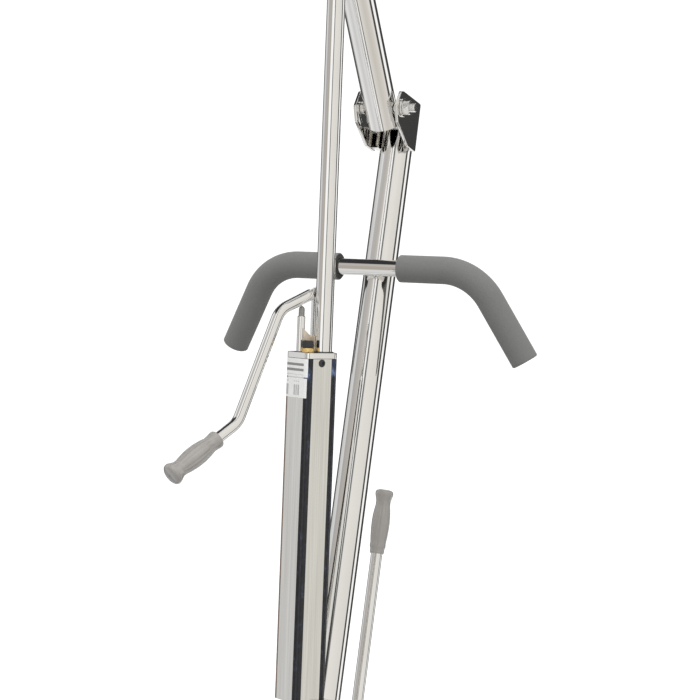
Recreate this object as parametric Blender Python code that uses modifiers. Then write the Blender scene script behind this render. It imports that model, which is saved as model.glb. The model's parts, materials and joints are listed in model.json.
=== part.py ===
"""Manual hydraulic patient lift: leaning mast, bent boom, square pump and spreading base.

Units are metres, +Z is up, -Y is the patient side and +X is the lift's lateral axis.
The lift stands on its casters with the middle of its outline over the origin.
"""
from math import atan2, cos, hypot, pi, radians, sin, tan

import bmesh
import bpy
from mathutils import Matrix, Vector

# ---------------------------------------------------------------- driving dimensions
GAP = 0.0003                      # running clearance between touching pieces
TUBE_R = 0.022225                 # mast and boom, 1 3/4 inch tube
TUBE_WALL = 0.0025

PIVOT = Vector((0.0, 0.5621, 1.330))   # boom pivot bolt
MAST_LEAN = radians(17.44)        # backwards
MAST_SETBACK = 0.0687             # mast axis behind the pivot, at the pivot's height
MAST_TOP_DROP = 0.031             # mast's upper end below the pivot
BOOM_RISE = radians(63.5)         # first stretch of the boom, above the horizontal
BOOM_STUB = 0.025                 # boom behind the pivot
BOOM_KNEE = 0.460                 # pivot to the boom's bend
BOOM_REACH = 0.560                # bend to the boom's tip
BOOM_BEND = radians(49.5)
BOOM_BEND_R = 0.150
RAM_PIN = 0.2826                  # ram pin along the boom, from the pivot
FOOT_DROP = 0.964                 # pump's foot bolt below the pivot

CHEEK_INNER = 0.0285
CHEEK_THICK = 0.004
BOLT_R = 0.006                    # M12 bolts
HOLE_R = BOLT_R + GAP

BAR_R = 0.0111                    # handlebar tube
BAR_HEIGHT = 0.942                # along the mast, from its foot
BAR_HALF = 0.1525                 # mast centre to the handlebar's bend
BAR_BEND_R = 0.075
BAR_LEG = Vector((0.0672, 0.0520, -0.1081))
FOAM_R = 0.0185
FOAM_START = 0.0455

BEAM = Vector((0.700, 0.050, 0.050))
BEAM_BOTTOM = 0.156
BEAM_TOP = BEAM_BOTTOM + BEAM.z
PLATE_THICK = 0.006
PLATE_BOTTOM = BEAM_BOTTOM - PLATE_THICK
LEG_X = 0.225
LEG_AHEAD = 0.120                 # leg pivots ahead of the beam
LEG_LENGTH = 0.800
LEG_TAIL = 0.025
LEG_WIDE = 0.040
LEG_HIGH = 0.030
LEG_BOTTOM = 0.100
LEG_SWING = radians(17.0)
LEVER_SWING = radians(50.0)
CAM_R = 0.030                     # cam centre to its link pins
STRAP = 0.005                     # cam, crank and link plate thickness
REAR_CASTER_X = 0.330

RAM_R = 0.0119
CASE = 0.0508                     # pump case, across its flats
CASE_CORNER = 0.009
CASE_WALL = 0.003
CASE_TWIST = radians(-25.2)
CASE_BOTTOM = 0.1965              # along the ram axis, from the foot bolt
CAP_TOP = 0.6512
CAP_THICK = 0.0077
RAM_IN_CASE = Vector((0.0097, 0.0097, 0.0))
PLUNGER_X = -0.0065               # lever plane, from the case's centre
PLUNGER_AHEAD = 0.0247            # plunger ahead of the lever's fulcrum
LEVER_R = 0.0075
LEVER_GRIP = 0.0825
TANG = 0.006                      # flat end of the lever, on its pin
LINK_THICK = 0.003
FULCRUM = 0.7304                  # lever pin along the ram axis
LEVER_DROP = radians(23.4)        # lever at rest, below level in the case's frame
KNOB_AT = Vector((0.0096, -0.0155, 0.0))
SHIFTER_R = 0.008
SHIFTER_BEHIND = 0.1143           # shifter rod behind the mast's axis, level
SHIFTER_TOP = 0.5313              # its top below the boom pivot

# ---------------------------------------------------------------- worked-out places
LEAN_DIR = Vector((0.0, sin(MAST_LEAN), cos(MAST_LEAN)))


def mast_axis(height):
    """Point on the mast's axis at a height above the floor."""
    return Vector((0.0, PIVOT.y + MAST_SETBACK + tan(MAST_LEAN) * (height - PIVOT.z), height))


BEAM_Y = mast_axis(BEAM_TOP).y
FOOT = mast_axis(PIVOT.z - FOOT_DROP)
RAM_TOP = PIVOT + RAM_PIN * Vector((0.0, -cos(BOOM_RISE), sin(BOOM_RISE)))
RAM_LENGTH = (RAM_TOP - FOOT).length
RAM_LEAN = atan2(RAM_TOP.y - FOOT.y, RAM_TOP.z - FOOT.z)
LEG_PIVOT_Y = BEAM_Y - LEG_AHEAD


def crank_radius():
    """Leg crank that keeps a tie link's length at both ends of the lever's swing."""
    def error(radius):
        across = LEG_X - radius * sin(LEG_SWING) + CAM_R * sin(LEVER_SWING)
        along = CAM_R * cos(LEVER_SWING) - radius * (1 - cos(LEG_SWING))
        return hypot(across, along) - hypot(LEG_X, CAM_R)
    low, high = 0.04, 0.12
    for _ in range(60):
        middle = (low + high) / 2
        if error(middle) > 0:
            low = middle
        else:
            high = middle
    return (low + high) / 2


CRANK_R = crank_radius()
CAM = Vector((0.0, LEG_PIVOT_Y + CRANK_R, 0.0))

ALONG_X = (0.0, pi / 2, 0.0)      # local Z to +X
SIDE_ON = (pi / 2, 0.0, pi / 2)   # outline's x, y to Y, Z
FRONT_ON = (pi / 2, 0.0, 0.0)     # outline's x, y to X, Z

# ---------------------------------------------------------------- scene and materials
for old in list(bpy.data.objects):
    bpy.data.objects.remove(old)
PARTS = bpy.data.collections.new("patient_lift")
CUTTERS = bpy.data.collections.new("cutters")
bpy.context.scene.collection.children.link(PARTS)
bpy.context.scene.collection.children.link(CUTTERS)


def material(name, colour, metallic, roughness):
    made = bpy.data.materials.new(name)
    made.use_nodes = True
    shader = made.node_tree.nodes["Principled BSDF"]
    shader.inputs["Base Color"].default_value = (*colour, 1.0)
    shader.inputs["Metallic"].default_value = metallic
    shader.inputs["Roughness"].default_value = roughness
    return made


CHROME = material("chrome", (0.86, 0.86, 0.84), 1.0, 0.06)
ZINC = material("zinc", (0.62, 0.62, 0.60), 1.0, 0.30)
YELLOW_ZINC = material("yellow_zinc", (0.55, 0.42, 0.27), 1.0, 0.32)
BRASS = material("brass", (0.78, 0.55, 0.22), 1.0, 0.25)
FOAM = material("foam", (0.15, 0.15, 0.145), 0.0, 0.85)
VINYL = material("vinyl", (0.36, 0.34, 0.32), 0.0, 0.35)
BLACK = material("black_plastic", (0.03, 0.03, 0.032), 0.0, 0.40)
TYRE = material("grey_tyre", (0.23, 0.23, 0.235), 0.0, 0.60)


# ---------------------------------------------------------------- modelling helpers
def frame(name, location, rotation=(0.0, 0.0, 0.0), parent=None):
    """Empty that carries a local frame."""
    empty = bpy.data.objects.new(name, None)
    empty.location = location
    empty.rotation_euler = rotation
    empty.parent = parent
    PARTS.objects.link(empty)
    return empty


def place(name, data, finish, parent, location, rotation):
    made = bpy.data.objects.new(name, data)
    made.location = location
    made.rotation_euler = rotation
    made.parent = parent
    data.materials.append(finish)
    PARTS.objects.link(made)
    return made


def smooth(mesh):
    mesh.shade_smooth()
    mesh.set_sharp_from_angle(angle=radians(35))


def as_mesh(item):
    """Turns a curve object, with its loose caps, into a closed mesh object."""
    evaluated = item.evaluated_get(bpy.context.evaluated_depsgraph_get())
    mesh = bpy.data.meshes.new_from_object(evaluated)
    work = bmesh.new()
    work.from_mesh(mesh)
    bmesh.ops.remove_doubles(work, verts=work.verts, dist=0.00001)
    bmesh.ops.recalc_face_normals(work, faces=work.faces)
    work.to_mesh(mesh)
    work.free()
    smooth(mesh)
    made = bpy.data.objects.new(item.name + "_mesh", mesh)
    made.parent = item.parent
    made.location = item.location
    made.rotation_euler = item.rotation_euler
    name = item.name
    bpy.data.objects.remove(item)
    made.name = name
    PARTS.objects.link(made)
    return made


def outline(name, loops, thick, finish, parent=None, location=(0, 0, 0), rotation=(0, 0, 0)):
    """Flat plate from closed outlines, the first outside and the others holes."""
    curve = bpy.data.curves.new(name, "CURVE")
    curve.dimensions = "2D"
    curve.fill_mode = "BOTH"
    curve.extrude = thick / 2
    for loop in loops:
        spline = curve.splines.new("POLY")
        spline.points.add(len(loop) - 1)
        for point, (x, y) in zip(spline.points, loop):
            point.co = (x, y, 0.0, 1.0)
        spline.use_cyclic_u = True
    return as_mesh(place(name, curve, finish, parent, location, rotation))


def tube(name, points, radius, finish, parent=None, location=(0, 0, 0), rotation=(0, 0, 0), round_steps=4):
    """Round bar along a list of points."""
    curve = bpy.data.curves.new(name, "CURVE")
    curve.dimensions = "3D"
    curve.bevel_depth = radius
    curve.bevel_resolution = round_steps
    curve.use_fill_caps = True
    spline = curve.splines.new("POLY")
    spline.points.add(len(points) - 1)
    for point, where in zip(spline.points, points):
        point.co = (*where, 1.0)
    return as_mesh(place(name, curve, finish, parent, location, rotation))


def primitive(name, fill, finish, parent, location, rotation):
    mesh = bpy.data.meshes.new(name)
    work = bmesh.new()
    fill(work)
    work.to_mesh(mesh)
    work.free()
    smooth(mesh)
    return place(name, mesh, finish, parent, location, rotation)


def box(name, size, finish, parent=None, location=(0, 0, 0), rotation=(0, 0, 0), edge=0.0):
    def fill(work):
        bmesh.ops.create_cube(work, size=1.0, matrix=Matrix.Diagonal((*size, 1.0)))
    made = primitive(name, fill, finish, parent, location, rotation)
    if edge:
        soften(made, edge)
    return made


def cylinder(name, radius, depth, finish, parent=None, location=(0, 0, 0), rotation=(0, 0, 0), sides=24):
    def fill(work):
        bmesh.ops.create_cone(work, cap_ends=True, segments=sides, radius1=radius, radius2=radius, depth=depth)
    return primitive(name, fill, finish, parent, location, rotation)


def turned(name, profile, finish, parent=None, location=(0, 0, 0), rotation=(0, 0, 0), steps=24, closed=False):
    """Body of revolution about local Z; the profile's outer side runs downwards."""
    mesh = bpy.data.meshes.new(name)
    edges = [(i, i + 1) for i in range(len(profile) - 1)]
    if closed:
        edges.append((len(profile) - 1, 0))
    mesh.from_pydata([(r, 0.0, z) for r, z in profile], edges, [])
    made = place(name, mesh, finish, parent, location, rotation)
    screw = made.modifiers.new("turn", "SCREW")
    screw.steps = steps
    screw.render_steps = steps
    screw.use_merge_vertices = True
    screw.merge_threshold = 0.00005
    screw.use_smooth_shade = False
    return made


def ring_profile(inner, outer, low, high):
    """Closed profile of a plain ring, outer side first and downwards."""
    return [(outer, high), (outer, low), (inner, low), (inner, high)]


def soften(item, width, segments=2):
    bevel = item.modifiers.new("soften", "BEVEL")
    bevel.width = width
    bevel.segments = segments
    bevel.limit_method = "ANGLE"
    bevel.angle_limit = radians(40)


def combine(item, tool, operation):
    tool.hide_render = True
    tool.display_type = "WIRE"
    PARTS.objects.unlink(tool)
    CUTTERS.objects.link(tool)
    change = item.modifiers.new(operation.lower(), "BOOLEAN")
    change.operation = operation
    change.object = tool
    change.solver = "EXACT"


def cut(item, *tools):
    for tool in tools:
        combine(item, tool, "DIFFERENCE")


def weld(item, *tools):
    for tool in tools:
        combine(item, tool, "UNION")


def drill(item, radius, depth, parent=None, location=(0, 0, 0), rotation=(0, 0, 0)):
    tool = cylinder(item.name + "_hole", radius, depth, ZINC, parent, location, rotation, sides=20)
    cut(item, tool)


def fillet_path(corners, radius, steps=6):
    """Straight runs joined by arcs at the inner corners."""
    corners = [Vector(corner) for corner in corners]
    path = [corners[0]]
    for before, corner, after in zip(corners, corners[1:], corners[2:]):
        way_in = (corner - before).normalized()
        way_out = (after - corner).normalized()
        turn = way_in.angle(way_out)
        reach = radius * tan(turn / 2)
        start = corner - way_in * reach
        inward = (way_out - way_in * way_in.dot(way_out)).normalized()
        for step in range(steps + 1):
            angle = turn * step / steps
            path.append(start + radius * (sin(angle) * way_in + (1 - cos(angle)) * inward))
    path.append(corners[-1])
    return path


def rounded_loop(corners, radius, steps=3):
    """Closed outline with every corner rounded."""
    loop = []
    count = len(corners)
    for index in range(count):
        before = Vector((*corners[index - 1], 0))
        corner = Vector((*corners[index], 0))
        after = Vector((*corners[(index + 1) % count], 0))
        middle = fillet_path([before, corner, after], radius, steps)[1:-1]
        loop.extend((p.x, p.y) for p in middle)
    return loop


def rectangle(width, height, radius, steps=3, centre=(0.0, 0.0)):
    x, y = width / 2, height / 2
    cx, cy = centre
    corners = [(cx - x, cy - y), (cx + x, cy - y), (cx + x, cy + y), (cx - x, cy + y)]
    return rounded_loop(corners, radius, steps)


def circle(radius, centre=(0.0, 0.0), sides=20):
    return [(centre[0] + radius * cos(2 * pi * i / sides), centre[1] + radius * sin(2 * pi * i / sides))
            for i in range(sides)]


def strap_loop(start, end, half_width, steps=8):
    """Flat bar with round ends about two points."""
    start, end = Vector((*start, 0)), Vector((*end, 0))
    along = (end - start).normalized()
    side = Vector((-along.y, along.x, 0))
    loop = []
    for centre, sign in ((end, 1), (start, -1)):
        for step in range(steps + 1):
            angle = pi * step / steps
            point = centre - sign * half_width * (cos(angle) * side - sin(angle) * along)
            loop.append((point.x, point.y))
    return loop


def bolt_profile(shank_r, length, head_r, head_high, washer_r=0.0, washer_high=0.0):
    """Bolt hanging from its head's top at z = 0."""
    profile = [(0.0, 0.0), (head_r, 0.0), (head_r, -head_high)]
    under = head_high
    if washer_r:
        profile += [(washer_r, -head_high), (washer_r, -head_high - washer_high)]
        under += washer_high
    profile += [(shank_r, -under), (shank_r, -under - length), (0.0, -under - length)]
    return profile


# ---------------------------------------------------------------- frames
WORLD = None
MAST = frame("mast_frame", mast_axis(BEAM_TOP), (-MAST_LEAN, 0, 0))
BOOM = frame("boom_frame", PIVOT, (pi / 2 - BOOM_RISE, 0, 0))
PUMP = frame("pump_frame", FOOT, (-RAM_LEAN, 0, 0))
CASE_AT = -(Matrix.Rotation(CASE_TWIST, 3, "Z") @ RAM_IN_CASE)
HEAD = frame("case_frame", CASE_AT, (0, 0, CASE_TWIST), PUMP)


# ---------------------------------------------------------------- base
def base():
    section = [rectangle(BEAM.y, BEAM.z, 0.006), rectangle(BEAM.y - 0.006, BEAM.z - 0.006, 0.003)]
    beam = outline("base_crossbeam", section, BEAM.x, CHROME, WORLD, (0, BEAM_Y, BEAM_BOTTOM + BEAM.z / 2),
                   SIDE_ON)
    for side in (-1, 1):
        drill(beam, 0.0065 + GAP, 0.02, WORLD, (side * REAR_CASTER_X, BEAM_Y, BEAM_BOTTOM))
    front = -LEG_AHEAD - 0.025
    rear = 0.030
    holes = [circle(HOLE_R, (side * LEG_X, -LEG_AHEAD)) for side in (-1, 1)]
    holes.append(circle(HOLE_R, (0, CAM.y - BEAM_Y)))
    outside = rounded_loop([(-0.250, front), (0.250, front), (0.262, rear), (-0.262, rear)], 0.012)
    outline("base_plate", [outside, *holes], PLATE_THICK - GAP, CHROME, WORLD,
            (0, BEAM_Y, BEAM_BOTTOM - PLATE_THICK / 2 - GAP / 2))
    shoulder_top = PLATE_BOTTOM - GAP
    shoulder_low = LEG_BOTTOM + LEG_HIGH + STRAP + 2 * GAP
    nut_top = LEG_BOTTOM - GAP
    top = BEAM_BOTTOM + GAP
    for side, name in ((-1, "left"), (1, "right")):
        profile = [(0, top + 0.009), (0.0095, top + 0.009), (0.0105, top + 0.002), (0.0140, top + 0.002),
                   (0.0140, top), (BOLT_R, top), (BOLT_R, shoulder_top), (0.012, shoulder_top),
                   (0.012, shoulder_low), (BOLT_R, shoulder_low), (BOLT_R, nut_top), (0.0105, nut_top),
                   (0.0105, nut_top - 0.009), (0, nut_top - 0.009)]
        turned(name + "_leg_pivot_bolt", profile, ZINC, WORLD, (side * LEG_X, LEG_PIVOT_Y, 0))
    cam_top = LEG_BOTTOM + LEG_HIGH + STRAP + GAP
    cam_low = LEG_BOTTOM + LEG_HIGH
    profile = [(0, top + 0.009), (0.0095, top + 0.009), (0.0105, top + 0.002), (0.0140, top + 0.002),
               (0.0140, top), (BOLT_R, top), (BOLT_R, shoulder_top), (0.0078, shoulder_top),
               (0.0078, cam_top + GAP), (BOLT_R, cam_top + GAP), (BOLT_R, cam_low), (0.0105, cam_low),
               (0.0105, cam_low - 0.009), (0, cam_low - 0.009)]
    turned("cam_bolt", profile, ZINC, WORLD, CAM)


def legs():
    crank_z = LEG_BOTTOM + LEG_HIGH + STRAP / 2
    section = [rectangle(LEG_WIDE, LEG_HIGH, 0.005), rectangle(LEG_WIDE - 0.005, LEG_HIGH - 0.005, 0.0025)]
    for side, name in ((-1, "left"), (1, "right")):
        middle = LEG_PIVOT_Y + (LEG_TAIL - LEG_LENGTH) / 2
        leg = outline(name + "_leg_tube", section, LEG_LENGTH + LEG_TAIL, CHROME, WORLD,
                      (side * LEG_X, middle, LEG_BOTTOM + LEG_HIGH / 2), FRONT_ON)
        crank = outline(name + "_crank", [strap_loop((0, 0), (0, CRANK_R), 0.013)], STRAP + 0.001, ZINC, WORLD,
                        (side * LEG_X, LEG_PIVOT_Y, crank_z - 0.0005))
        weld(leg, crank)
        drill(leg, HOLE_R, 0.08, WORLD, (side * LEG_X, LEG_PIVOT_Y, LEG_BOTTOM + LEG_HIGH / 2))


def shifter():
    level = LEG_BOTTOM + LEG_HIGH + GAP + STRAP / 2
    foot_y = mast_axis(level).y + SHIFTER_BEHIND
    outline("cam_plate", [strap_loop((0, -CAM_R), (0, foot_y - CAM.y), 0.013), circle(HOLE_R)], STRAP - GAP,
            ZINC, WORLD, (0, CAM.y, level))
    top_z = PIVOT.z - SHIFTER_TOP
    rod_end = mast_axis(top_z - 0.012) + Vector((0, SHIFTER_BEHIND, 0))
    corner = mast_axis(0.170) + Vector((0, SHIFTER_BEHIND, 0))
    start = Vector((0, corner.y, level + STRAP / 2 + GAP))
    tube("shifter_rod", fillet_path([start, corner, rod_end], 0.035), SHIFTER_R, CHROME)
    tip = mast_axis(top_z) + Vector((0, SHIFTER_BEHIND, 0))
    grip("shifter_grip", 0.090, SHIFTER_R, (0.0100, 0.0105, 0.0127, 0.0102, 0.0126), 0.0125,
         WORLD, tip - 0.090 * LEAN_DIR, (-MAST_LEAN, 0, 0))
    link_z = LEG_BOTTOM + LEG_HIGH + STRAP + 3 * GAP + 0.002
    for side, name in ((-1, "left"), (1, "right")):
        near = (0, side * CAM_R)
        far = (side * LEG_X, 0)
        link = outline(name + "_tie_link", [strap_loop(near, far, 0.0085)], 0.004, ZINC, WORLD,
                       (0, CAM.y, link_z))
        for end, (x, y) in (("near", near), ("far", far)):
            head = cylinder(name + end, 0.0075, 0.006, ZINC, WORLD, (x, CAM.y + y, link_z + 0.004), sides=6)
            weld(link, head)


def grip(name, length, bore, radii, buried, parent, location, rotation):
    """Moulded grip along local Z: waisted at both ends, with a blind bore."""
    bore += GAP
    neck_low, low, middle, high, flare = radii
    depth = length - buried + 0.002
    profile = [(0, length), (0.55 * flare, length - 0.0004), (0.90 * flare, length - 0.002),
               (flare, length - 0.0055), (high + 0.0003, length - 0.013), (high, length - 0.019),
               (middle, length * 0.55), (0.97 * middle, length * 0.38), (low, length * 0.14),
               (neck_low, length * 0.07), (neck_low, 0.0), (bore, 0.0), (bore, depth), (0, depth)]
    return turned(name, profile, VINYL, parent, location, rotation)


# ---------------------------------------------------------------- mast
def mast():
    top = (PIVOT.z - MAST_TOP_DROP - BEAM_TOP) / cos(MAST_LEAN)
    post = turned("mast_tube", ring_profile(TUBE_R - TUBE_WALL, TUBE_R, 0.012, top), CHROME, MAST,
                  steps=32, closed=True)
    foot_along = (FOOT - mast_axis(BEAM_TOP)).length
    drill(post, HOLE_R, 0.06, MAST, (0, 0, foot_along), ALONG_X)
    drill(post, 0.0043, 0.06, MAST, (0, 0, 0.055), ALONG_X)
    socket = turned("mast_socket", ring_profile(TUBE_R + GAP, 0.0280, -0.02, 0.085), CHROME, MAST,
                    steps=32, closed=True)
    floor = box("socket_floor", (0.2, 0.2, 0.1), ZINC, WORLD, (0, BEAM_Y, BEAM_TOP + GAP - 0.05))
    cut(socket, floor)
    drill(socket, 0.0043, 0.08, MAST, (0, 0, 0.055), ALONG_X)
    bolt = turned("socket_bolt", bolt_profile(0.004, 0.060, 0.0075, 0.0055), ZINC, MAST,
                  (0.0338, 0, 0.055), ALONG_X)
    nut = cylinder("socket_nut", 0.0075, 0.007, ZINC, MAST, (-0.0318, 0, 0.055), ALONG_X, sides=6)
    weld(bolt, nut)


def boom_bracket():
    """Kite-shaped cheeks welded to the mast's flanks, with the pivot bolt through them."""
    kite = [(-0.0193, 0.0030), (-0.0035, 0.0224), (0.0055, 0.0224), (0.0621, 0.0050),
            (0.0428, -0.0610), (0.0167, -0.0520), (-0.0148, -0.0190)]
    for side, name in ((-1, "left"), (1, "right")):
        middle = side * (CHEEK_INNER + CHEEK_THICK / 2)
        cheek = outline(name + "_bracket_cheek", [rounded_loop(kite, 0.004), circle(HOLE_R)], CHEEK_THICK,
                        CHROME, WORLD, PIVOT + Vector((middle, 0, 0)), SIDE_ON)
        along = (PIVOT.z - BEAM_TOP) / cos(MAST_LEAN) - 0.048
        packer = box(name + "_packer", (0.0095, 0.010, 0.028), CHROME, MAST,
                     (side * (CHEEK_INNER - 0.0037), -0.0145, along))
        weld(cheek, packer)
        cut(cheek, cylinder(name + "_saddle", TUBE_R + GAP, 0.2, CHROME, MAST, (0, 0, along), sides=32))
        inner = TUBE_R + 2 * GAP
        turned(name + "_pivot_washer", ring_profile(HOLE_R, 0.0085, inner, CHEEK_INNER - GAP), CHROME, WORLD,
               PIVOT, (0, side * pi / 2, 0), closed=True)
    outer = CHEEK_INNER + CHEEK_THICK + GAP
    turned("pivot_bolt", bolt_profile(BOLT_R, outer + 0.0528, 0.0100, 0.0030), CHROME, WORLD,
           PIVOT - Vector((outer + 0.0030, 0, 0)), (0, -pi / 2, 0))
    seat = PIVOT + Vector((outer, 0, 0))
    nut = cylinder("pivot_nut", 0.0108, 0.0110, CHROME, WORLD, seat + Vector((0.0077, 0, 0)), ALONG_X, 6)
    weld(nut, cylinder("pivot_flat", 0.0125, 0.0024, CHROME, WORLD, seat + Vector((0.0012, 0, 0)), ALONG_X))
    drill(nut, HOLE_R, 0.05, WORLD, seat + Vector((0.005, 0, 0)), ALONG_X)


def handlebar():
    front = -(TUBE_R + BAR_R + GAP)
    centre = Vector((0, front, BAR_HEIGHT))
    leg = BAR_LEG.normalized()
    ends = {side: centre + Vector((side * BAR_HALF, 0, 0)) + 0.130 * Vector((side * leg.x, leg.y, leg.z))
            for side in (-1, 1)}
    bends = {side: centre + Vector((side * BAR_HALF, 0, 0)) for side in (-1, 1)}
    path = fillet_path([ends[-1], bends[-1], bends[1], ends[1]], BAR_BEND_R)
    tube("handlebar", path, BAR_R, CHROME, MAST, round_steps=5)
    for side, name in ((-1, "left"), (1, "right")):
        end = bends[side] + BAR_LEG.length * Vector((side * leg.x, leg.y, leg.z))
        start = centre + Vector((side * FOAM_START, 0, 0))
        way = fillet_path([start, bends[side], end], BAR_BEND_R)
        foam = tube(name + "_foam_grip", way, FOAM_R, FOAM, MAST, round_steps=6)
        inner_end = bends[side] + (0.130 + GAP) * Vector((side * leg.x, leg.y, leg.z))
        before = centre + Vector((side * (FOAM_START - 0.01), 0, 0))
        bore = tube(name + "_foam_bore", fillet_path([before, bends[side], inner_end], BAR_BEND_R),
                    BAR_R + 0.0006, FOAM, MAST, round_steps=5)
        cut(foam, bore)


# ---------------------------------------------------------------- boom and hanger
TIP_INSET = 0.025                 # hanger bolt from the boom's tip


def boom_points(start, past_tip):
    knee = Vector((0, 0, BOOM_KNEE))
    out = Vector((0, -sin(BOOM_BEND), cos(BOOM_BEND)))
    corners = [Vector((0, 0, start)), knee, knee + (BOOM_REACH + past_tip) * out]
    return fillet_path(corners, BOOM_BEND_R, 8), out


def boom():
    path, out = boom_points(-BOOM_STUB, 0.0)
    arm = tube("boom_tube", path, TUBE_R, CHROME, BOOM, round_steps=6)
    inside, _ = boom_points(-BOOM_STUB - 0.01, 0.01)
    cut(arm, tube("boom_bore", inside, TUBE_R - TUBE_WALL, CHROME, BOOM, round_steps=6))
    drill(arm, HOLE_R, 0.06, BOOM, (0, 0, 0), ALONG_X)
    tip = path[-1]
    bolt_at = tip - TIP_INSET * out
    drill(arm, HOLE_R - 0.001, 0.06, BOOM, bolt_at, ALONG_X)
    for change in arm.modifiers:
        change.solver = "MANIFOLD"
    turn = (BOOM_BEND, 0, 0)
    cap = cylinder("boom_tip_cap", TUBE_R - TUBE_WALL - 0.0008, 0.010, BLACK, BOOM, tip - 0.0045 * out, turn)
    weld(cap, cylinder("tip_flange", TUBE_R, 0.003, BLACK, BOOM, tip + (0.0015 + GAP) * out, turn))
    cheek_out = TUBE_R + 0.0052
    bolt = turned("hanger_bolt", bolt_profile(BOLT_R - 0.001, 2 * cheek_out + 0.007, 0.0090, 0.0065), ZINC,
                  BOOM, bolt_at + Vector((cheek_out + GAP + 0.0065, 0, 0)), ALONG_X)
    weld(bolt, cylinder("hanger_nut", 0.0090, 0.0080, ZINC, BOOM,
                        bolt_at - Vector((cheek_out + GAP + 0.004, 0, 0)), ALONG_X, 6))
    return bolt_at


def hanger(bolt_at):
    turn = Matrix.Rotation(pi / 2 - BOOM_RISE, 3, "X")
    pin = PIVOT + turn @ bolt_at
    inner, outer = TUBE_R + 0.0012, TUBE_R + 0.0052
    drop = 0.052
    shape = [(-outer, 0.014), (-outer, -drop), (outer, -drop), (outer, 0.014),
             (inner, 0.014), (inner, -drop + 0.006), (-inner, -drop + 0.006), (-inner, 0.014)]
    clevis = outline("hanger_clevis", [shape], 0.026, CHROME, WORLD, pin, FRONT_ON)
    drill(clevis, HOLE_R - 0.001, 0.08, WORLD, pin, ALONG_X)
    drill(clevis, 0.0063, 0.03, WORLD, pin - Vector((0, 0, drop)))
    hub = pin - Vector((0, 0, drop + 0.030))
    stud = [(0, 0.044), (0.0105, 0.044), (0.0105, 0.0365), (0.0060, 0.0365), (0.0060, 0.0295),
            (0.0125, 0.0295), (0.0125, 0.0113), (0, 0.0113)]
    turned("swivel_stud", stud, ZINC, WORLD, hub)
    bar_r = 0.011
    half = 0.205
    shape = [(-half, 0, -0.050), (-0.105, 0, 0), (0.105, 0, 0), (half, 0, -0.050)]
    bar = tube("spreader_bar", fillet_path(shape, 0.07), bar_r, CHROME, WORLD, hub)
    for side, name in ((-1, "left"), (1, "right")):
        x = side * (half - 0.012)
        hook = [(x, 0, -0.044), (x, 0, -0.086), (x + side * 0.022, 0, -0.110), (x + side * 0.046, 0, -0.094),
                (x + side * 0.050, 0, -0.062)]
        weld(bar, tube(name + "_sling_hook", fillet_path(hook, 0.012, 3), 0.005, CHROME, WORLD, hub,
                       round_steps=2))


# ---------------------------------------------------------------- pump
def ram():
    crotch = RAM_LENGTH - 0.066
    boss_low = crotch - 0.023
    rod = [(0, boss_low - GAP), (RAM_R, boss_low - GAP), (RAM_R, CAP_TOP - 0.080), (0, CAP_TOP - 0.080)]
    turned("ram_rod", rod, CHROME, PUMP)
    inner, outer = TUBE_R + 0.0013, TUBE_R + 0.0063
    shape = [(-outer, 0.016), (-outer, -0.073), (outer, -0.073), (outer, 0.016),
             (inner, 0.016), (inner, -0.066), (-inner, -0.066), (-inner, 0.016)]
    fork = outline("ram_fork", [shape], 0.026, CHROME, PUMP, (0, 0, RAM_LENGTH), FRONT_ON)
    weld(fork, cylinder("fork_boss", 0.0150, 0.018, CHROME, PUMP, (0, 0, crotch - 0.014)))
    for side in (-1, 1):
        end = (side * (outer + 0.0035), 0, RAM_LENGTH)
        weld(fork, cylinder("fork_bolt_end", 0.0105, 0.008, ZINC, PUMP, end, ALONG_X, sides=6))


def pump_body():
    inside = CASE - 2 * CASE_WALL
    top = CAP_TOP - CAP_THICK - GAP
    corner = CASE_CORNER
    section = [rectangle(CASE, CASE, corner, 4), rectangle(inside, inside, corner - CASE_WALL, 4)]
    case = outline("pump_case", section, top - CASE_BOTTOM, CHROME, HEAD, (0, 0, (top + CASE_BOTTOM) / 2))
    screw = Vector((CASE / 2, -0.0035, top - 0.0054))
    drill(case, 0.0026, 0.02, HEAD, screw, ALONG_X)
    button = [(0, 0.0022), (0.0030, 0.0021), (0.0047, 0.0009), (0.0050, 0.0), (0.0023, 0.0), (0.0023, -0.006),
              (0, -0.006)]
    turned("case_screw", button, BLACK, HEAD, screw + Vector((GAP, 0, 0)), ALONG_X)
    cap = outline("pump_cap", [rectangle(CASE, CASE, corner, 4), circle(RAM_R + GAP, RAM_IN_CASE[:2], 24)],
                  CAP_THICK, CHROME, HEAD, (0, 0, CAP_TOP - CAP_THICK / 2))
    soften(cap, 0.0008, 1)
    plug = inside - 2 * GAP
    outline("pump_base_plug", [rectangle(plug, plug, corner - CASE_WALL, 4)], 0.014, ZINC, HEAD,
            (0, 0, CASE_BOTTOM + 0.007))
    inner, outer = TUBE_R + 0.0017, TUBE_R + 0.0067
    bridge_top = CASE_BOTTOM - GAP
    shape = [(-outer, -0.017), (-inner, -0.017), (-inner, bridge_top - 0.008), (inner, bridge_top - 0.008),
             (inner, -0.017), (outer, -0.017), (outer, bridge_top), (-outer, bridge_top)]
    yoke = outline("pump_yoke", [shape], 0.028, ZINC, PUMP, (0, 0, 0), FRONT_ON)
    drill(yoke, HOLE_R, 0.08, PUMP, (0, 0, 0), ALONG_X)
    bolt = turned("foot_bolt", bolt_profile(BOLT_R, 2 * outer + 0.008, 0.0105, 0.0075), ZINC, WORLD,
                  FOOT + Vector((outer + GAP + 0.0075, 0, 0)), ALONG_X)
    weld(bolt, cylinder("foot_nut", 0.0105, 0.0095, ZINC, WORLD, FOOT - Vector((outer + GAP + 0.00475, 0, 0)),
                        ALONG_X, 6))


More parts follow.
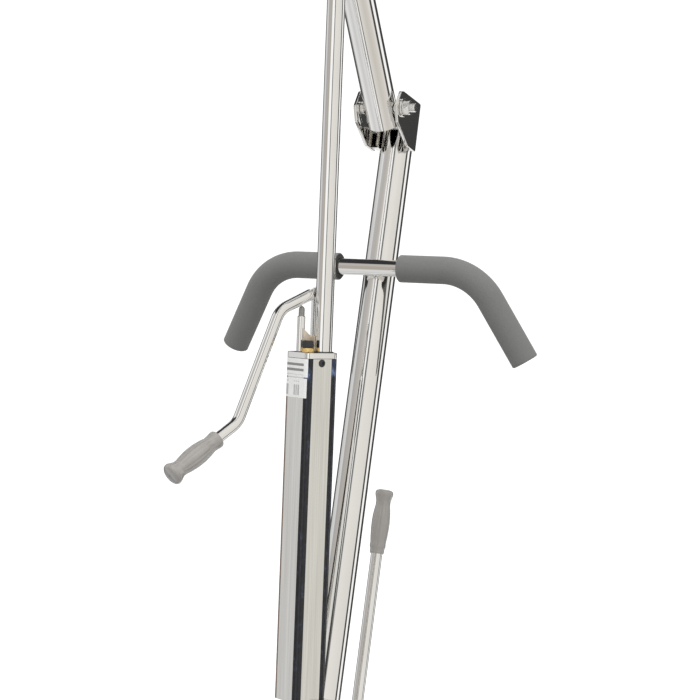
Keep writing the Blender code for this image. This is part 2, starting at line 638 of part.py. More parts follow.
def pump_head():
    """What stands on the pump's cap: sleeve, bracket, link, release valve."""
    on_cap = CAP_TOP + GAP
    plunger_y = RAM_IN_CASE.y - PLUNGER_AHEAD
    turned("plunger_sleeve", ring_profile(0.0039 + GAP, 0.0052, 0.0, 0.0460), CHROME, HEAD,
           (PLUNGER_X, plunger_y, on_cap), closed=True)
    near, wall, front, back = PLUNGER_X + 0.0055, 0.0014, -0.0164, -0.0026
    folded = [(-0.0134, back - wall), (near, back - wall), (near, front), (near + wall, front),
              (near + wall, back - wall), (0.0085, back - wall), (0.0085, back), (-0.0134, back)]
    bracket = outline("lever_bracket", [folded], 0.032, YELLOW_ZINC, HEAD, (0, 0, on_cap + 0.016))
    slope = box("bracket_slope", (0.06, 0.06, 0.04), ZINC, HEAD, (0, 0.0047, on_cap + 0.0391),
                (radians(-38.7), 0, 0))
    cut(bracket, slope)
    bracket.modifiers[-1].solver = "MANIFOLD"
    outline("lever_link", [strap_loop((RAM_IN_CASE.y, on_cap + 0.005), (RAM_IN_CASE.y, FULCRUM), 0.005),
                           circle(0.0026 + GAP, (RAM_IN_CASE.y, FULCRUM))], LINK_THICK, CHROME, HEAD,
            (PLUNGER_X - (TANG + LINK_THICK) / 2 - GAP, 0, 0), SIDE_ON)
    turned("valve_collar", ring_profile(0.0036, 0.0089, 0.0, 0.0056), BRASS, HEAD,
           (KNOB_AT.x, KNOB_AT.y, on_cap), closed=True)
    knob_low = 0.0056 + GAP
    knob = [(0, 0.0150), (0.0062, 0.0150), (0.0072, 0.0140), (0.0072, knob_low), (0.0032, knob_low),
            (0.0032, 0.0005), (0, 0.0005)]
    turned("release_knob", knob, BLACK, HEAD, (KNOB_AT.x, KNOB_AT.y, on_cap))
    top = FULCRUM - PLUNGER_AHEAD * tan(LEVER_DROP) - LEVER_R / cos(LEVER_DROP) - 0.0008
    rod = [(0, top), (0.0012, top - 0.0005), (0.0024, top - 0.0014), (0.0034, top - 0.0027),
           (0.0039, top - 0.0042), (0.0039, CAP_TOP + 0.012), (0, CAP_TOP + 0.012)]
    turned("plunger_rod", rod, CHROME, HEAD, (PLUNGER_X, plunger_y, 0))


def pump_lever():
    """Cranked lever in the plane that holds its fulcrum and the plunger."""
    def at(ahead, along):
        return Vector((PLUNGER_X, RAM_IN_CASE.y - ahead, along))
    pin = at(0, FULCRUM)
    first = at(0.0600, FULCRUM - 0.0600 * tan(LEVER_DROP))
    second, grip_out = at(0.1210, 0.5603), at(0.2201, 0.4966)
    way = (grip_out - second).normalized()
    grip_in = grip_out - LEVER_GRIP * way
    away = (first - pin).normalized()
    path = fillet_path([pin + 0.0110 * away, first, second, grip_out - 0.010 * way], 0.030)
    lever = tube("pump_lever", path, LEVER_R, CHROME, HEAD)
    root = pin + 0.030 * away
    weld(lever, outline("lever_tang", [strap_loop(pin.yz, root.yz, 0.0060)], TANG, CHROME, HEAD,
                        (PLUNGER_X, 0, 0), SIDE_ON))
    drill(lever, 0.0026 + GAP, 0.03, HEAD, pin, ALONG_X)
    shank = TANG + LINK_THICK + 2 * GAP
    turned("lever_pin", bolt_profile(0.0026, shank, 0.0042, 0.0018), ZINC, HEAD,
           pin - Vector((TANG / 2 + LINK_THICK + 2 * GAP + 0.0018, 0, 0)), (0, -pi / 2, 0))
    tilt = atan2(-way.y, way.z)
    grip("lever_grip", LEVER_GRIP, LEVER_R, (0.0118, 0.0103, 0.0137, 0.0108, 0.0142), 0.010, HEAD,
         grip_in, (tilt, 0, 0))


# ---------------------------------------------------------------- casters
def caster(name, x, y, wheel_r, width, trail, top, stem_top, stem_r, brake):
    """Swivel caster on a floor point below its stem."""
    under = frame(name + "_frame", (x, y, 0))
    side = width / 2 + 0.0030
    plate = 0.0030
    rear = 0.030 if not brake else 0.066
    shape = [(-0.020, top), (rear, top), (rear, top - 0.009), (trail + 0.014, wheel_r),
             (trail + 0.006, wheel_r - 0.013), (trail - 0.006, wheel_r - 0.013), (trail - 0.014, wheel_r),
             (-0.020, top - 0.012)]
    fork = outline(name + "_fork", [rounded_loop(shape, 0.003, 2)], plate, ZINC, under,
                   (side + plate / 2, 0, 0), SIDE_ON)
    weld(fork, outline(name + "_other_cheek", [rounded_loop(shape, 0.003, 2)], plate, ZINC, under,
                       (-side - plate / 2, 0, 0), SIDE_ON))
    crown_rear = 0.028
    weld(fork, box(name + "_crown", (2 * side + 0.001, 0.016 + crown_rear, 0.004), ZINC, under,
                   (0, (crown_rear - 0.016) / 2, top - 0.0025)))
    weld(fork, cylinder(name + "_race", 0.019, 0.006, ZINC, under, (0, 0, top + 0.0020)))
    weld(fork, cylinder(name + "_stem", stem_r, stem_top - top + 0.002, ZINC, under,
                        (0, 0, (stem_top + top - 0.002) / 2)))
    weld(fork, cylinder(name + "_axle", 0.0045, 2 * side + 2 * plate + 0.006, ZINC, under, (0, trail, wheel_r),
                        ALONG_X, 16))
    half = width / 2
    hub = half + 0.0022
    tread = 0.30 * wheel_r
    rim = wheel_r - tread
    recess = half - 0.004
    profile = [(wheel_r - 0.004, half), (wheel_r, recess), (wheel_r, -recess), (wheel_r - 0.004, -half),
               (rim, -half), (rim, -recess), (0.013, -recess), (0.013, -hub), (0.0048, -hub), (0.0048, hub),
               (0.013, hub), (0.013, recess), (rim, recess), (rim, half)]
    turned(name + "_wheel", profile, TYRE, under, (0, trail, wheel_r), ALONG_X, steps=28, closed=True)
    if brake:
        pedal_z = top - 0.006
        pedal = box(name + "_brake_pedal", (2 * side - 0.0008, 0.034, 0.004), BLACK, under,
                    (0, rear + 0.010, pedal_z + 0.003), (radians(14), 0, 0), edge=0.0012)
        weld(pedal, cylinder(name + "_brake_boss", 0.0045, 2 * side - 0.0008, BLACK, under,
                             (0, rear - 0.006, pedal_z), ALONG_X, 16))


def casters():
    front_y = LEG_PIVOT_Y - LEG_LENGTH + 0.035
    for side, name in ((-1, "left"), (1, "right")):
        caster(name + "_front_caster", side * LEG_X, front_y, 0.0375, 0.024, 0.022, 0.0860,
               LEG_BOTTOM - GAP, 0.0085, False)
        caster(name + "_rear_caster", side * REAR_CASTER_X, BEAM_Y, 0.0625, 0.026, 0.032, 0.1360,
               BEAM_BOTTOM + 0.006, 0.0065, True)


base()
legs()
shifter()
mast()
boom_bracket()
handlebar()
hanger(boom())
ram()
pump_body()
pump_head()
pump_lever()
casters()
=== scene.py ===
"""Looks of the patient lift: smooth chrome tube work, foam and vinyl grips, pump head, base and casters."""
import json
from math import atan2, cos, pi, radians, sin, tan

import bmesh
import bpy
from mathutils import Matrix, Vector


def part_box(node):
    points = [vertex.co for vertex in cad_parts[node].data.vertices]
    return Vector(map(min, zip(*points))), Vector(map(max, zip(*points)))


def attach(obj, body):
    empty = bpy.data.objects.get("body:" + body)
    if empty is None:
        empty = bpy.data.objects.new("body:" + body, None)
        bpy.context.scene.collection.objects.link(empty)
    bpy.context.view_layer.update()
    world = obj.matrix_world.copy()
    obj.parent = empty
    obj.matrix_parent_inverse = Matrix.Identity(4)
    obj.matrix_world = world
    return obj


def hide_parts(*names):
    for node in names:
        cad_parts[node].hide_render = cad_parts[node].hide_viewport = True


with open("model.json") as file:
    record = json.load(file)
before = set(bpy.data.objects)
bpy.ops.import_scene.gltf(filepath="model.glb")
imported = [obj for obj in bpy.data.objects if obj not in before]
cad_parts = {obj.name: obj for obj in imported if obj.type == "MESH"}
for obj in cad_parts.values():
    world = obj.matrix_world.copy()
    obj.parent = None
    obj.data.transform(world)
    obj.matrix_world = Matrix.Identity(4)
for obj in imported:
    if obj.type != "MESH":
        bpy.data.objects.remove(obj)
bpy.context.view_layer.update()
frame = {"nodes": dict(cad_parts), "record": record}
JOINTS = {joint["name"]: joint for joint in frame["record"]["behaviour"]["joints"]}

# ---------------------------------------------------------------- sizes, in metres
GAP = 0.0003
TUBE_R = 0.022225
TUBE_WALL = 0.0025
BEAM_TOP = 0.206
BOOM_RISE = radians(63.5)
BOOM_BEND = radians(49.5)
BOOM_BEND_R = 0.150
BOOM_STUB = 0.025
BOOM_KNEE = 0.460
BOOM_REACH = 0.560
RAM_PIN = 0.2826
CHEEK_INNER = 0.0285
CHEEK_THICK = 0.004
MAST_LEAN = radians(17.44)
MAST_SETBACK = 0.0687
MAST_TOP_DROP = 0.031
BAR_R = 0.0111
BAR_HEIGHT = 0.942
BAR_HALF = 0.1525
BAR_BEND_R = 0.075
BAR_LEG = Vector((0.0672, 0.0520, -0.1081))
FOAM_R = 0.0185
FOAM_START = 0.0455
RAM_R = 0.0119
CASE = 0.0508
CASE_CORNER = 0.009
CASE_TWIST = radians(-25.2)
CASE_BOTTOM = 0.1965
CAP_TOP = 0.6512
CAP_THICK = 0.0077
RAM_IN_CASE = Vector((0.0097, 0.0097, 0.0))
PLUNGER_X = -0.0065
PLUNGER_AHEAD = 0.0247
LEVER_R = 0.0075
LEVER_GRIP = 0.0825
TANG = 0.006
LINK_THICK = 0.003
FULCRUM = 0.7304
LEVER_DROP = radians(23.4)
KNOB_AT = Vector((0.0096, -0.0155, 0.0))
SHIFTER_R = 0.008
SHIFTER_BEHIND = 0.1143
SHIFTER_TOP = 0.5313
SHIFTER_GRIP = 0.090
HUB_DROP = 0.082
SOCKET_R = 0.0280
LEG_HEIGHT = 0.115

PIVOT = Vector(JOINTS["boom_lift"]["pos_m"])
FOOT = Vector(JOINTS["pump_tilt"]["pos_m"])
HANGER = Vector(JOINTS["hanger_level"]["pos_m"])
RAM_DIR = Vector(JOINTS["ram_slide"]["axis"]).normalized()
RAM_LEAN = atan2(RAM_DIR.y, RAM_DIR.z)
RAM_TOP = PIVOT + RAM_PIN * Vector((0.0, -cos(BOOM_RISE), sin(BOOM_RISE)))
RAM_LENGTH = (RAM_TOP - FOOT).length


def mast_axis(height):
    return Vector((0.0, PIVOT.y + MAST_SETBACK + tan(MAST_LEAN) * (height - PIVOT.z), height))


def local(origin, *turns):
    place = Matrix.Translation(origin)
    for angle, axis in turns:
        place = place @ Matrix.Rotation(angle, 4, axis)
    return place


MAST = local(mast_axis(BEAM_TOP), (-MAST_LEAN, "X"))
BOOM = local(PIVOT, (pi / 2 - BOOM_RISE, "X"))
PUMP = local(FOOT, (-RAM_LEAN, "X"))
HEAD = PUMP @ local(-(Matrix.Rotation(CASE_TWIST, 3, "Z") @ RAM_IN_CASE), (CASE_TWIST, "Z"))
ALONG_X = Matrix.Rotation(pi / 2, 4, "Y")
SIDE_ON = Matrix.Rotation(pi / 2, 4, "Z") @ Matrix.Rotation(pi / 2, 4, "X")
FRONT_ON = Matrix.Rotation(pi / 2, 4, "X")
LEFT_RIGHT = ((-1, "left"), (1, "right"))
shift = Matrix.Translation


def outward(side):
    """Turns local Z to point out to the left (-1) or the right (1)."""
    return Matrix.Rotation(side * pi / 2, 4, "Y")


PIECES = bpy.data.collections.new("pieces")
bpy.context.scene.collection.children.link(PIECES)


# ---------------------------------------------------------------- materials
class Nodes:
    """Small helper to write a node tree as expressions."""

    def __init__(self, tree):
        self.tree = tree

    def node(self, kind, **settings):
        made = self.tree.nodes.new(kind)
        for key, value in settings.items():
            setattr(made, key, value)
        return made

    def link(self, source, target):
        self.tree.links.new(source, target)

    def noise(self, scale, detail=3.0, stretch=(1, 1, 1)):
        mapping = self.node("ShaderNodeMapping")
        mapping.inputs["Scale"].default_value = stretch
        self.link(self.node("ShaderNodeTexCoord").outputs["Object"], mapping.inputs["Vector"])
        made = self.node("ShaderNodeTexNoise")
        made.inputs["Scale"].default_value = scale
        made.inputs["Detail"].default_value = detail
        self.link(mapping.outputs["Vector"], made.inputs["Vector"])
        return made.outputs["Fac"]

    def axes(self, space):
        split = self.node("ShaderNodeSeparateXYZ")
        self.link(self.node("ShaderNodeTexCoord").outputs[space], split.inputs["Vector"])
        return split.outputs

    def ramp(self, value, stops, smooth="LINEAR"):
        made = self.node("ShaderNodeValToRGB")
        made.color_ramp.interpolation = smooth
        elements = made.color_ramp.elements
        while len(elements) < len(stops):
            elements.new(0.5)
        for element, (position, colour) in zip(elements, stops):
            element.position = position
            element.color = (*colour, 1.0) if isinstance(colour, tuple) else (colour, colour, colour, 1.0)
        self.link(value, made.inputs["Fac"])
        return made.outputs["Color"]

    def span(self, value, low=0.0, high=1.0, start=0.0, end=1.0, curve="LINEAR"):
        """Maps start..end to low..high."""
        made = self.node("ShaderNodeMapRange", interpolation_type=curve)
        for socket, number in (("From Min", start), ("From Max", end), ("To Min", low), ("To Max", high)):
            made.inputs[socket].default_value = number
        self.link(value, made.inputs["Value"])
        return made.outputs["Result"]

    def mix(self, factor, first, second, blend="MIX"):
        made = self.node("ShaderNodeMix", data_type="RGBA", blend_type=blend)
        if isinstance(factor, float):
            made.inputs["Factor"].default_value = factor
        else:
            self.link(factor, made.inputs["Factor"])
        self.link(first, made.inputs[6])
        self.link(second, made.inputs[7])
        return made.outputs[2]


class Material(Nodes):
    """A Principled material: values go on its sockets, and drive() links what varies over the surface."""

    def __init__(self, name, **values):
        self.material = bpy.data.materials.new(name)
        self.material.use_nodes = True
        super().__init__(self.material.node_tree)
        self.shader = self.tree.nodes["Principled BSDF"]
        for key, value in values.items():
            self.shader.inputs[key.replace("_", " ")].default_value = value

    def drive(self, **sources):
        for key, source in sources.items():
            self.link(source, self.shader.inputs[key.replace("_", " ")])

    def bump(self, height, strength, distance):
        made = self.node("ShaderNodeBump")
        made.inputs["Strength"].default_value = strength
        made.inputs["Distance"].default_value = distance
        self.link(height, made.inputs["Height"])
        self.drive(Normal=made.outputs["Normal"])


def metal(name, light, dark, rough, scale=30.0, bump=0.0):
    m = Material(name, Metallic=1.0)
    m.drive(Base_Color=m.ramp(m.noise(scale, 4.0), [(0.3, dark), (0.7, light)]),
            Roughness=m.span(m.noise(scale * 3, 2.0), *rough))
    if bump:
        m.bump(m.noise(scale * 8, 3.0), bump, 0.0004)
    return m.material


def plastic(name, light, dark, rough, scale=60.0, bump=0.15, grain=900.0, coat=0.0):
    m = Material(name, Coat_Weight=coat, Coat_Roughness=0.12)
    m.drive(Base_Color=m.ramp(m.noise(scale, 4.0), [(0.3, dark), (0.7, light)]),
            Roughness=m.span(m.noise(scale * 2, 2.0), *rough))
    m.bump(m.noise(grain, 2.0), bump, 0.0004)
    return m.material


def foam_material():
    m = Material("foam", Specular_IOR_Level=0.25, Sheen_Weight=0.12, Sheen_Roughness=0.5)
    tones = [(0.25, (0.163, 0.164, 0.158)), (0.75, (0.212, 0.212, 0.204))]
    m.drive(Base_Color=m.ramp(m.noise(900.0, 4.0), tones),
            Roughness=m.span(m.noise(300.0, 2.0), 0.72, 0.9))
    m.bump(m.noise(1500.0, 3.0), 0.35, 0.0005)
    return m.material


def foam_end_material():
    m = Material("foam_cut", Specular_IOR_Level=0.2, Roughness=0.9)
    tones = [(0.3, (0.055, 0.057, 0.055)), (0.7, (0.09, 0.092, 0.09))]
    m.drive(Base_Color=m.ramp(m.noise(1100.0, 4.0), tones))
    m.bump(m.noise(1400.0, 3.0), 0.6, 0.0006)
    return m.material


def case_material():
    """Chromed case with fine drawn streaks."""
    m = Material("pump_case_finish", Metallic=1.0)
    streaks = m.noise(26.0, 4.0, (14, 14, 0.25))
    m.drive(Base_Color=m.ramp(streaks, [(0.3, (0.66, 0.65, 0.62)), (0.7, (0.80, 0.79, 0.76))]),
            Roughness=m.span(m.noise(50.0, 2.0, (6, 6, 0.4)), 0.05, 0.11))
    return m.material


def corner_material():
    """Black film on the case's corners, mottled blue near the top."""
    m = Material("corner_film", Coat_Weight=0.25, Coat_Roughness=0.10, Specular_IOR_Level=0.35)
    film = m.ramp(m.noise(160.0, 5.0, (1.4, 1.4, 0.7)),
                  [(0.40, (0.008, 0.008, 0.010)), (0.60, (0.012, 0.014, 0.020)), (0.72, (0.03, 0.04, 0.07)),
                   (0.80, (0.12, 0.13, 0.16))])
    blue = m.ramp(m.noise(70.0, 3.0, (1.5, 1.5, 1.0)),
                  [(0.44, (0.008, 0.009, 0.014)), (0.56, (0.030, 0.048, 0.10)), (0.68, (0.15, 0.21, 0.36))])
    near_top = m.span(m.axes("Object")["Z"], start=CAP_TOP - 0.050, end=CAP_TOP - 0.030)
    m.drive(Base_Color=m.mix(near_top, film, blue), Roughness=m.span(m.noise(200.0, 3.0), 0.18, 0.5))
    return m.material


def label_material(name, rows, columns):
    """White sticker with plain grey bars: rows up it, and columns that let the white show through."""
    m = Material(name, Roughness=0.45)
    axes = m.axes("Generated")
    paper = m.ramp(m.noise(300.0, 2.0), [(0.3, (0.86, 0.86, 0.85)), (0.7, (0.90, 0.90, 0.89))])
    bars = m.mix(1.0, m.ramp(axes["Z"], rows, "CONSTANT"), m.ramp(axes["X"], columns, "CONSTANT"), "LIGHTEN")
    m.drive(Base_Color=m.mix(1.0, paper, bars, "MULTIPLY"))
    return m.material


CHROME = metal("chrome", (0.86, 0.855, 0.84), (0.83, 0.822, 0.805), (0.035, 0.075), scale=14.0)
CHROME_DULL = metal("chrome_dull", (0.80, 0.79, 0.77), (0.72, 0.71, 0.69), (0.12, 0.2), scale=40.0)
ZINC = metal("zinc", (0.70, 0.70, 0.69), (0.58, 0.58, 0.57), (0.2, 0.34), scale=60.0, bump=0.1)
BRIGHT_ZINC = metal("bright_zinc", (0.88, 0.88, 0.87), (0.74, 0.74, 0.73), (0.10, 0.2), scale=90.0)
YELLOW_ZINC = metal("yellow_zinc", (0.95, 0.88, 0.76), (0.76, 0.67, 0.56), (0.48, 0.60), scale=70.0)
BRASS = metal("brass", (0.90, 0.66, 0.28), (0.74, 0.50, 0.18), (0.16, 0.28), scale=120.0)
WELD = metal("weld", (0.80, 0.77, 0.70), (0.50, 0.45, 0.38), (0.18, 0.36), scale=260.0, bump=0.3)
DARK_STEEL = metal("dark_steel", (0.40, 0.39, 0.38), (0.28, 0.27, 0.26), (0.18, 0.3), scale=90.0)
# Painted reflection: this brown on the case's far-left corner stands for brown surroundings mirrored in the
# chrome.
PAINTED_BROWN_REFLECTION = plastic("painted_brown_reflection", (0.20, 0.125, 0.08), (0.13, 0.08, 0.05), (0.3, 0.45), coat=0.3)
VINYL = plastic("vinyl", (0.345, 0.325, 0.305), (0.315, 0.298, 0.280), (0.20, 0.28), bump=0.03, grain=400.0,
                coat=1.0)
BLACK = plastic("black_plastic", (0.035, 0.035, 0.037), (0.02, 0.02, 0.022), (0.35, 0.5))
TYRE = plastic("grey_tyre", (0.24, 0.24, 0.245), (0.20, 0.20, 0.205), (0.5, 0.65), grain=500.0)
RIM = plastic("grey_rim", (0.52, 0.52, 0.52), (0.47, 0.47, 0.47), (0.35, 0.5), grain=400.0)
FOAM = foam_material()
FOAM_CUT = foam_end_material()
CASE_FINISH = case_material()
CORNER = corner_material()


# ---------------------------------------------------------------- shapes
def finish_piece(name, mesh, finish, body, place=None, slot=None, replaces=None, sharp=32.0, flat=False):
    mesh.shade_smooth()
    mesh.set_sharp_from_angle(angle=radians(sharp))
    piece = bpy.data.objects.new(name, mesh)
    if flat:
        piece.modifiers.new("flat_faces", "WEIGHTED_NORMAL").keep_sharp = True
    if place is not None:
        piece.matrix_world = place
    for each in finish if isinstance(finish, list) else [finish]:
        mesh.materials.append(each)
    PIECES.objects.link(piece)
    if replaces:
        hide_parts(replaces)
    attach(piece, body)
    return piece


def from_bmesh(name, work):
    mesh = bpy.data.meshes.new(name)
    bmesh.ops.recalc_face_normals(work, faces=work.faces)
    work.to_mesh(mesh)
    work.free()
    return mesh


def lathe_mesh(name, profile, sides=64, closed=False, shape=None):
    """Revolves (radius, height) points; shape(r, z, angle) may change a point's radius."""
    work = bmesh.new()
    rings = []
    for radius, height in profile:
        if radius < 1e-7:
            rings.append([work.verts.new((0, 0, height))])
            continue
        ring = []
        for step in range(sides):
            angle = 2 * pi * step / sides
            r = shape(radius, height, angle) if shape else radius
            ring.append(work.verts.new((r * cos(angle), r * sin(angle), height)))
        rings.append(ring)
    pairs = list(zip(rings, rings[1:]))
    if closed:
        pairs.append((rings[-1], rings[0]))
    for one, two in pairs:
        for step in range(sides):
            after = (step + 1) % sides
            corners = []
            for vert in (one[step % len(one)], one[after % len(one)],
                         two[after % len(two)], two[step % len(two)]):
                if vert not in corners:
                    corners.append(vert)
            if len(corners) > 2:
                work.faces.new(corners)
    return from_bmesh(name, work)


def lathe(name, profile, finish, body, place=None, sides=64, closed=False, shape=None, **more):
    return finish_piece(name, lathe_mesh(name, profile, sides, closed, shape), finish, body, place, **more)


def fillet_path(corners, radius, steps=12):
    corners = [Vector(corner) for corner in corners]
    path = [corners[0]]
    for before, corner, after in zip(corners, corners[1:], corners[2:]):
        way_in = (corner - before).normalized()
        way_out = (after - corner).normalized()
        turn = way_in.angle(way_out)
        reach = radius * tan(turn / 2)
        start = corner - way_in * reach
        inward = (way_out - way_in * way_in.dot(way_out)).normalized()
        for step in range(steps + 1):
            angle = turn * step / steps
            path.append(start + radius * (sin(angle) * way_in + (1 - cos(angle)) * inward))
    path.append(corners[-1])
    return path


def sweep_mesh(name, path, radius, bore=0.0, sides=64, lip=0.0006, shape=None, end_material=0):
    """Round tube or bar along a path, with eased ends; shape(r, t, angle) may change the radius.
    end_material is for a tube's ends and bore."""
    path = [Vector(point) for point in path]
    ways = []
    for index in range(len(path)):
        before = path[max(index - 1, 0)]
        after = path[min(index + 1, len(path) - 1)]
        ways.append((after - before).normalized())
    total = sum((b - a).length for a, b in zip(path, path[1:]))
    stations = []
    run = 0.0
    for index, (point, way) in enumerate(zip(path, ways)):
        if index:
            run += (point - path[index - 1]).length
        stations.append((point, way, run))
    start, end = stations[0], stations[-1]
    outer = [(start[0], start[1], radius - lip, 0.0), (start[0] + lip * start[1], start[1], radius, lip)]
    outer += [(point, way, radius, run) for point, way, run in stations[1:-1]]
    outer += [(end[0] - lip * end[1], end[1], radius, total - lip), (end[0], end[1], radius - lip, total)]
    rings = list(outer)
    if bore:
        back = [(end[0], end[1], bore, total)] + [(p, w, bore, t) for p, w, t in reversed(stations[1:-1])]
        rings += back + [(start[0], start[1], bore, 0.0)]
    side = ways[0].orthogonal().normalized()
    work = bmesh.new()
    loops = []
    previous = ways[0]
    for point, way, r, run in rings:
        if previous.angle(way) > 1e-6:
            side = (previous.rotation_difference(way) @ side).normalized()
        previous = way
        up = way.cross(side).normalized()
        loop = []
        for step in range(sides):
            angle = 2 * pi * step / sides
            reach = shape(r, run, angle) if shape and r > bore else r
            loop.append(work.verts.new(point + reach * (cos(angle) * side + sin(angle) * up)))
        loops.append(loop)
    count = len(loops)
    for index in range(count if bore else count - 1):
        one, two = loops[index], loops[(index + 1) % count]
        for step in range(sides):
            after = (step + 1) % sides
            face = work.faces.new((one[step], one[after], two[after], two[step]))
            if bore and index >= len(outer) - 1:
                face.material_index = end_material
    if not bore:
        work.faces.new(loops[0])
        work.faces.new(loops[-1])
    return from_bmesh(name, work)


def sweep(name, path, radius, finish, body, place=None, bore=0.0, sides=64, lip=0.0006, shape=None,
          end_material=0, **more):
    mesh = sweep_mesh(name, path, radius, bore, sides, lip, shape, end_material)
    return finish_piece(name, mesh, finish, body, place, **more)


def rounded_loop(corners, radius, steps=6):
    """Outline with rounded corners, all of one radius or each of its own."""
    radii = radius if isinstance(radius, tuple) else (radius,) * len(corners)
    corners = [Vector((*corner, 0)) for corner in corners]
    loop = []
    for index, own in enumerate(radii):
        around = [corners[index - 1], corners[index], corners[(index + 1) % len(corners)]]
        loop.extend((p.x, p.y) for p in fillet_path(around, own, steps)[1:-1])
    return loop


def stirrup(top, low, floor, inner, outer, lip, bend, crotch):
    """Outline of an upright U; the last three ease its ends, its outer bends and its inner bends."""
    corners = [(-outer, top), (-outer, low), (outer, low), (outer, top), (inner, top), (inner, floor),
               (-inner, floor), (-inner, top)]
    return rounded_loop(corners, (lip, bend, bend, lip, lip, crotch, crotch, lip))


def rectangle(width, height, radius, steps=6):
    x, y = width / 2, height / 2
    return rounded_loop([(-x, -y), (x, -y), (x, y), (-x, y)], radius, steps)


def circle(radius, centre, sides):
    return [(centre[0] + radius * cos(2 * pi * i / sides), centre[1] + radius * sin(2 * pi * i / sides))
            for i in range(sides)]


def hoop(radius, height, sides, lean=1.0):
    """Closed ring of points, longer along Y where it goes round a tube that leans."""
    turns = [2 * pi * i / sides for i in range(sides + 1)]
    return [Vector((radius * cos(a), radius * sin(a) / lean, height)) for a in turns]


def strap_loop(start, end, half_width, steps=16):
    start, end = Vector((*start, 0)), Vector((*end, 0))
    along = (end - start).normalized()
    side = Vector((-along.y, along.x, 0))
    loop = []
    for centre, sign in ((end, 1), (start, -1)):
        for step in range(steps + 1):
            angle = pi * step / steps
            point = centre - sign * half_width * (cos(angle) * side - sin(angle) * along)
            loop.append((point.x, point.y))
    return loop


def plate_mesh(name, loops, thick, edge=0.0004):
    """Flat plate with eased edges, centred on its own plane."""
    curve = bpy.data.curves.new(name, "CURVE")
    curve.dimensions = "2D"
    curve.fill_mode = "BOTH"
    curve.extrude = thick / 2 - edge
    curve.bevel_depth = edge
    curve.bevel_resolution = 2
    curve.offset = -edge
    for loop in loops:
        spline = curve.splines.new("POLY")
        spline.points.add(len(loop) - 1)
        for point, (x, y) in zip(spline.points, loop):
            point.co = (x, y, 0.0, 1.0)
        spline.use_cyclic_u = True
    holder = bpy.data.objects.new(name + "_curve", curve)
    PIECES.objects.link(holder)
    mesh = bpy.data.meshes.new_from_object(holder.evaluated_get(bpy.context.evaluated_depsgraph_get()))
    bpy.data.objects.remove(holder)
    mesh.materials.clear()
    work = bmesh.new()
    work.from_mesh(mesh)
    bmesh.ops.remove_doubles(work, verts=work.verts, dist=0.000001)
    bmesh.ops.recalc_face_normals(work, faces=work.faces)
    work.to_mesh(mesh)
    work.free()
    mesh.name = name
    return mesh


def plate(name, loops, thick, finish, body, place=None, edge=0.0004, **more):
    return finish_piece(name, plate_mesh(name, loops, thick, edge), finish, body, place, flat=True, **more)


def denser(path, spacing, least=1):
    dense = []
    for a, b in zip(path, path[1:]):
        count = max(least, int((b - a).length / spacing))
        dense += [a.lerp(b, i / count) for i in range(count)]
    return dense + [path[-1]]


def bead(name, path, radius, finish, body, place=None):
    """Weld bead: a lumpy ribbon of overlapping ripples."""
    pitch = 0.0022

    def lumps(r, run, angle):
        return r * (1 + 0.16 * abs(sin(pi * run / pitch)) + 0.05 * sin(3 * angle + 40 * run / pitch))
    path = denser([Vector(point) for point in path], 0.0005, 2)
    return sweep(name, path, radius, finish, body, place, sides=16, lip=radius * 0.5, shape=lumps)


def thread(name, radius, length, pitch, finish, body, place, **more):
    """Threaded stud along local Z, from zero."""
    steps = int(length / (pitch / 6))
    profile = [(0, length), (radius * 0.82, length)]
    for index in range(steps + 1):
        z = length - pitch * 0.4 - (length - pitch * 0.4) * index / steps
        profile.append((radius, z))

    def helix(r, z, angle):
        if z > length - pitch * 0.3:
            return r
        return r - pitch * 0.30 * (0.5 + 0.5 * cos(2 * pi * z / pitch + angle))
    profile.append((0, 0))
    return lathe(name, profile, finish, body, place, sides=40, shape=helix, **more)


def hexagon(name, across, high, finish, body, place, **more):
    """Hex nut or head along local Z, from zero, with chamfered corners."""
    corner = across / 2 / cos(pi / 6)
    inner = across / 2
    chamfer, tiny = 0.0008, 1e-9

    def hexed(r, z, angle):
        if r <= inner + tiny:
            return r
        sector = (angle + pi / 6) % (pi / 3) - pi / 6
        flat = inner / cos(sector)
        if z > high - tiny or z < tiny:
            return min(flat, inner)
        if z > high - chamfer - tiny or z < chamfer + tiny:
            return min(flat, inner + 0.5 * (corner - inner))
        return flat
    profile = [(0, high), (inner + 2 * tiny, high), (corner, high - chamfer), (corner, high - 0.0018),
               (corner, 0.0018), (corner, chamfer), (inner + 2 * tiny, 0), (0, 0)]
    return lathe(name, profile, finish, body, place, sides=72, shape=hexed, **more)


def paint(node, material):
    item = frame["nodes"][node]
    item.data.materials.clear()
    item.data.materials.append(material)


# ---------------------------------------------------------------- mast, bracket and handlebar
def mast():
    top = (PIVOT.z - MAST_TOP_DROP - BEAM_TOP) / cos(MAST_LEAN)
    sweep("mast_tube_skin", [(0, 0, 0.012), (0, 0, top)], TUBE_R, CHROME, "base", MAST,
          bore=TUBE_R - TUBE_WALL, sides=96, slot="chrome", replaces="mast_tube")
    profile = [(SOCKET_R, 0.084), (SOCKET_R, -0.004), (TUBE_R + GAP, -0.004), (TUBE_R + GAP, 0.0842),
               (SOCKET_R - 0.0008, 0.085)]
    lathe("mast_socket_skin", profile, CHROME, "base", MAST, sides=96, closed=True, slot="chrome",
          replaces="mast_socket")
    bead("socket_weld", hoop(SOCKET_R, 0, 48, cos(MAST_LEAN)), 0.0030, WELD, "base",
         shift((0, mast_axis(BEAM_TOP).y, BEAM_TOP + 0.0008)))


